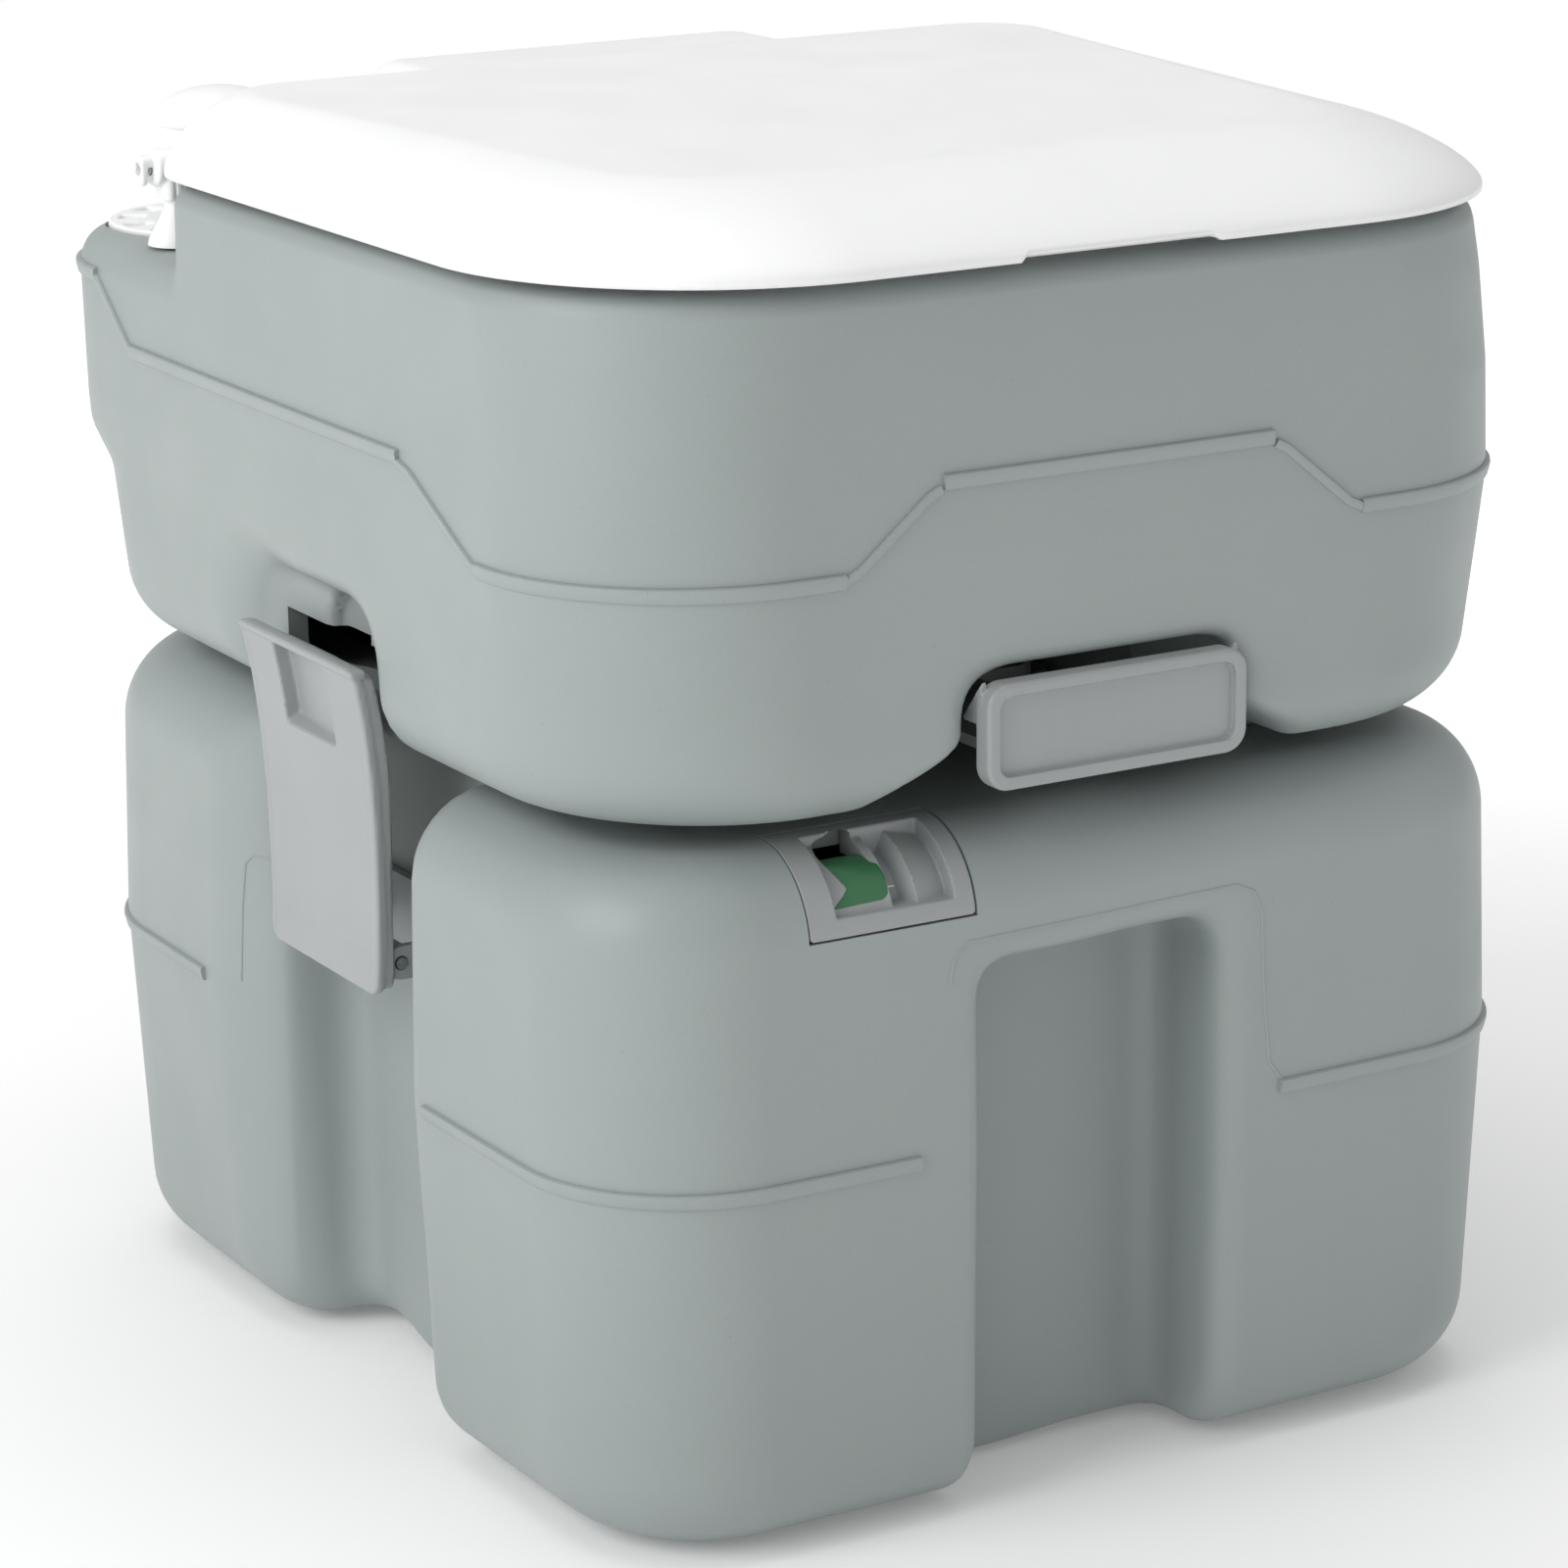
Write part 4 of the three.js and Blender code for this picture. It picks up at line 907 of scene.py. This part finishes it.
def spout_form(x, y, z):
    v, w = y - SPOUT_Y, z - SPOUT_Z
    run = slab(np.hypot(v, w) - 16, span(x, -63, SPOUT_X), 0.8)
    drop = slab(np.hypot(x - SPOUT_X, v) - 16, span(z, 168.1, SPOUT_Z), 0.8)
    ball = np.sqrt((x - SPOUT_X) ** 2 + v * v + w * w) - 16
    d = smin(smin(run, ball, 3), drop, 4)
    d = smin(d, slab(np.hypot(x - SPOUT_X, v) - 19.8, span(z, 168.1, 171.5), 0.8), 1.5)
    d = smin(d, slab(np.hypot(x - SPOUT_X, v) - 13.8, span(z, 162, 170), 0.6), 0.6)
    for collar_x in (-46, 48):
        d = smin(d, slab(np.hypot(v, w) - 17.2, span(x, collar_x, collar_x + 4), 0.8), 1)
    bore = np.maximum(np.hypot(v, w) - 12.5, x - SPOUT_X)
    fall = np.maximum(np.hypot(x - SPOUT_X, v) - 11.5, z - SPOUT_Z)
    hollow = np.minimum(np.minimum(bore, fall), np.sqrt((x - SPOUT_X) ** 2 + v * v + w * w) - 12.3)
    return smax(d, -hollow, 0.8)


spout = net_object("spout_form", spout_form, (-65, 154, 161), (91, 196, 207), 1.5)
shade(spout, spout_form, 35)
own(spout, "spout", TRIM, "grey_trim", "spout_elbow")


def spout_cap_form(x, y, z):
    v, w = y - SPOUT_Y, z - SPOUT_Z
    r, a = np.hypot(v, w), np.arctan2(w, v)
    ridge = 0.6 * np.cos(14 * a) * ease((x + 70) / 2) * ease((-51 - x) / 1.5)
    d = slab(r - 18.7 - ridge, span(x, -70, -50), 1.6)
    return smax(d, -np.maximum(r - 16.4, -66 - x), 0.6)


spout_cap = net_object("spout_cap_form", spout_cap_form, (-71, 155, 170), (-49, 195, 210), 1.0)
shade(spout_cap, spout_cap_form, 35)
own(spout_cap, "spout_lid", TRIM, "grey_trim", "spout_cap")

button = turned(
    "button_form",
    [(0, 208), (3.8, 208), (4, 208.3), (4, 225.7), (7, 225.7), (7.5, 226.2), (7.5, 226.9), (6.9, 227.6),
     (5.5, 227.9), (4.2, 227.5), (0, 227.3)], RELIEF_X, RELIEF_Y, 48,
)
shade(button, None, 30)
own(button, "relief", WHITE, "white", "relief_button")

BOWL_SIDE = [(100, 391), (99.2, 380), (98, 370), (93, 351), (86, 332), (75, 314), (62, 296), (53, 284),
             (46, 274), (41.6, 267), (39.7, 262), (39.5, 256), (39.5, 247)]


def bowl_mesh():
    inside = [(100.6, 393.2)] + BOWL_SIDE
    outside = [(r + 3, z) for r, z in BOWL_SIDE[1:]][::-1]
    rim = [(103, 392.4), (109.5, 392.4), (110, 392.9), (109.4, 393.6)]
    line = [(101.4, 393.6)] + inside + outside + rim
    made = turned("bowl_form", line, 0, 0, 120)
    co = np.empty(len(made.data.vertices) * 3, np.float32)
    made.data.vertices.foreach_get("co", co)
    p = co.reshape(-1, 3).astype(float) / MM
    share = np.clip((p[:, 2] - BOWL_THROAT_Z) / BOWL_DEPTH, 0, 1)
    p[:, 1] = p[:, 1] * (1 + BOWL_STRETCH * share) + OUTLET_Y - BOWL_SHIFT * share
    made.data.vertices.foreach_set("co", (p * MM).astype(np.float32).ravel())
    made.data.update()
    return made


bowl = bowl_mesh()
combine(bowl, cylinder("y", 0, 370, 40, 75, 6.2), "DIFFERENCE")
shade(bowl, None, 40)
own(bowl, "fresh_unit", GREY, "grey_tank", "bowl")


def seat_form(x, y, z):
    ring = np.hypot(x / 98, (y + 58) / 116)
    d = rect(x, y + 46.5, 156, 139.5, 72)
    hole = (ring - 1) * 104
    flat = smax(d, -hole, 2)
    top = 407.0 - 1.6 * ease((30 + flat) / 30) - 1.2 * ease((14 - hole) / 14)
    d = slab(smax(d, -hole, 1), np.maximum(394.8 - z, z - top), 3.5)
    for s in (-1, 1):
        u = x - s * 134.25
        arm = np.maximum(np.abs(u) - 5.25, np.maximum(span(y, 85, 118), span(z, 387, 393.4)))
        riser = np.maximum(np.abs(u) - 5.25, np.maximum(span(y, 86, 93), span(z, 387, 400)))
        knuckle = slab(np.hypot(y - HINGE_Y, z - HINGE_Z) - 6.5, np.abs(u) - 5.25, 0.8)
        d = smin(d, smin(smin(arm, riser, 1), knuckle, 1), 1)
    return np.maximum(d, 2.2 - np.hypot(y - HINGE_Y, z - HINGE_Z))


seat = net_object("seat_form", seat_form, (-157, -187, 383), (157, 126, 408), 1.9)
shade(seat, seat_form, 35)
own(seat, "seat_ring", WHITE, "white", "seat")


# ---------------------------------------------------------------- materials of the carried-over nodes

SLOT_LOOK = {
    "grey_tank": GREY, "grey_trim": TRIM, "white": WHITE, "green_flag": GREEN,
    "rubber": RUBBER, "steel": STEEL, "float_foam": FOAM, "clear_tube": TUBE,
}
slot_of = {s["node"]: s["material_slot"] for s in frame["record"]["subparts"]}
for node_name, piece in frame["nodes"].items():
    piece.data.materials.clear()
    piece.data.materials.append(SLOT_LOOK[slot_of[node_name]])


# ---------------------------------------------------------------- stage, lights and camera

def floor():
    """A plain pale sweep that brightens evenly away from the object."""
    mesh = bpy.data.meshes.new("floor")
    mesh.from_pydata([(-6, -6, 0), (6, -6, 0), (6, 6, 0), (-6, 6, 0)], [], [(0, 1, 2, 3)])
    made = object_of("floor", mesh)
    mat = bpy.data.materials.new("floor_paper")
    mat.use_nodes = True
    nodes, links = mat.node_tree.nodes, mat.node_tree.links
    shader = nodes["Principled BSDF"]
    shader.inputs["Base Color"].default_value = (0.90, 0.90, 0.90, 1)
    shader.inputs["Roughness"].default_value = 0.8
    shader.inputs["Emission Color"].default_value = (1, 1, 1, 1)
    coord = nodes.new("ShaderNodeTexCoord")
    length = nodes.new("ShaderNodeVectorMath")
    length.operation = "LENGTH"
    glow = nodes.new("ShaderNodeMapRange")
    glow.interpolation_type = "SMOOTHSTEP"
    for key, value in zip(("From Min", "From Max", "To Min", "To Max"), (0.25, 1.3, 0.12, 0.5)):
        glow.inputs[key].default_value = value
    links.new(coord.outputs["Object"], length.inputs[0])
    links.new(length.outputs["Value"], glow.inputs["Value"])
    links.new(glow.outputs["Result"], shader.inputs["Emission Strength"])
    made.data.materials.append(mat)


def area(name, place, target, size, power, color=(1, 1, 1)):
    data = bpy.data.lights.new(name, "AREA")
    data.shape, data.size, data.size_y = "RECTANGLE", size[0], size[1]
    data.energy, data.color = power, color
    light = bpy.data.objects.new(name, data)
    bpy.context.scene.collection.objects.link(light)
    light.location = place
    light.rotation_euler = (Vector(target) - Vector(place)).to_track_quat("-Z", "Y").to_euler()


floor()
area("key", (-2.2, -0.3, 1.5), (0, 0, 0.25), (1.6, 1.6), 31)
area("top", (0.0, 0.2, 2.4), (0, 0, 0.3), (2.0, 2.0), 19)

world = bpy.data.worlds.new("studio")
bpy.context.scene.world = world
world.use_nodes = True
world.node_tree.nodes["Background"].inputs["Color"].default_value = (1, 1, 1, 1)
world.node_tree.nodes["Background"].inputs["Strength"].default_value = 0.5
bpy.context.scene.view_settings.view_transform = "Standard"

CAMERA = {
    "place": (-0.8347, -1.4440, 0.6499), "yaw": 30.2, "pitch": -15.7, "roll": -0.676, "lens": 117.03,
}


def camera():
    yaw, pitch, roll = (math.radians(CAMERA[k]) for k in ("yaw", "pitch", "roll"))
    forward = Vector((math.sin(yaw) * math.cos(pitch), math.cos(yaw) * math.cos(pitch), math.sin(pitch)))
    right = Vector((math.cos(yaw), -math.sin(yaw), 0))
    up = right.cross(forward)
    r = right * math.cos(roll) + up * math.sin(roll)
    u = up * math.cos(roll) - right * math.sin(roll)
    data = bpy.data.cameras.new("camera")
    data.lens, data.sensor_width = CAMERA["lens"], 36
    data.clip_start, data.clip_end = 0.05, 50
    cam = bpy.data.objects.new("camera", data)
    bpy.context.scene.collection.objects.link(cam)
    turn = Matrix((r, u, -forward)).transposed().to_4x4()
    cam.matrix_world = Matrix.Translation(CAMERA["place"]) @ turn
    bpy.context.scene.camera = cam


camera()
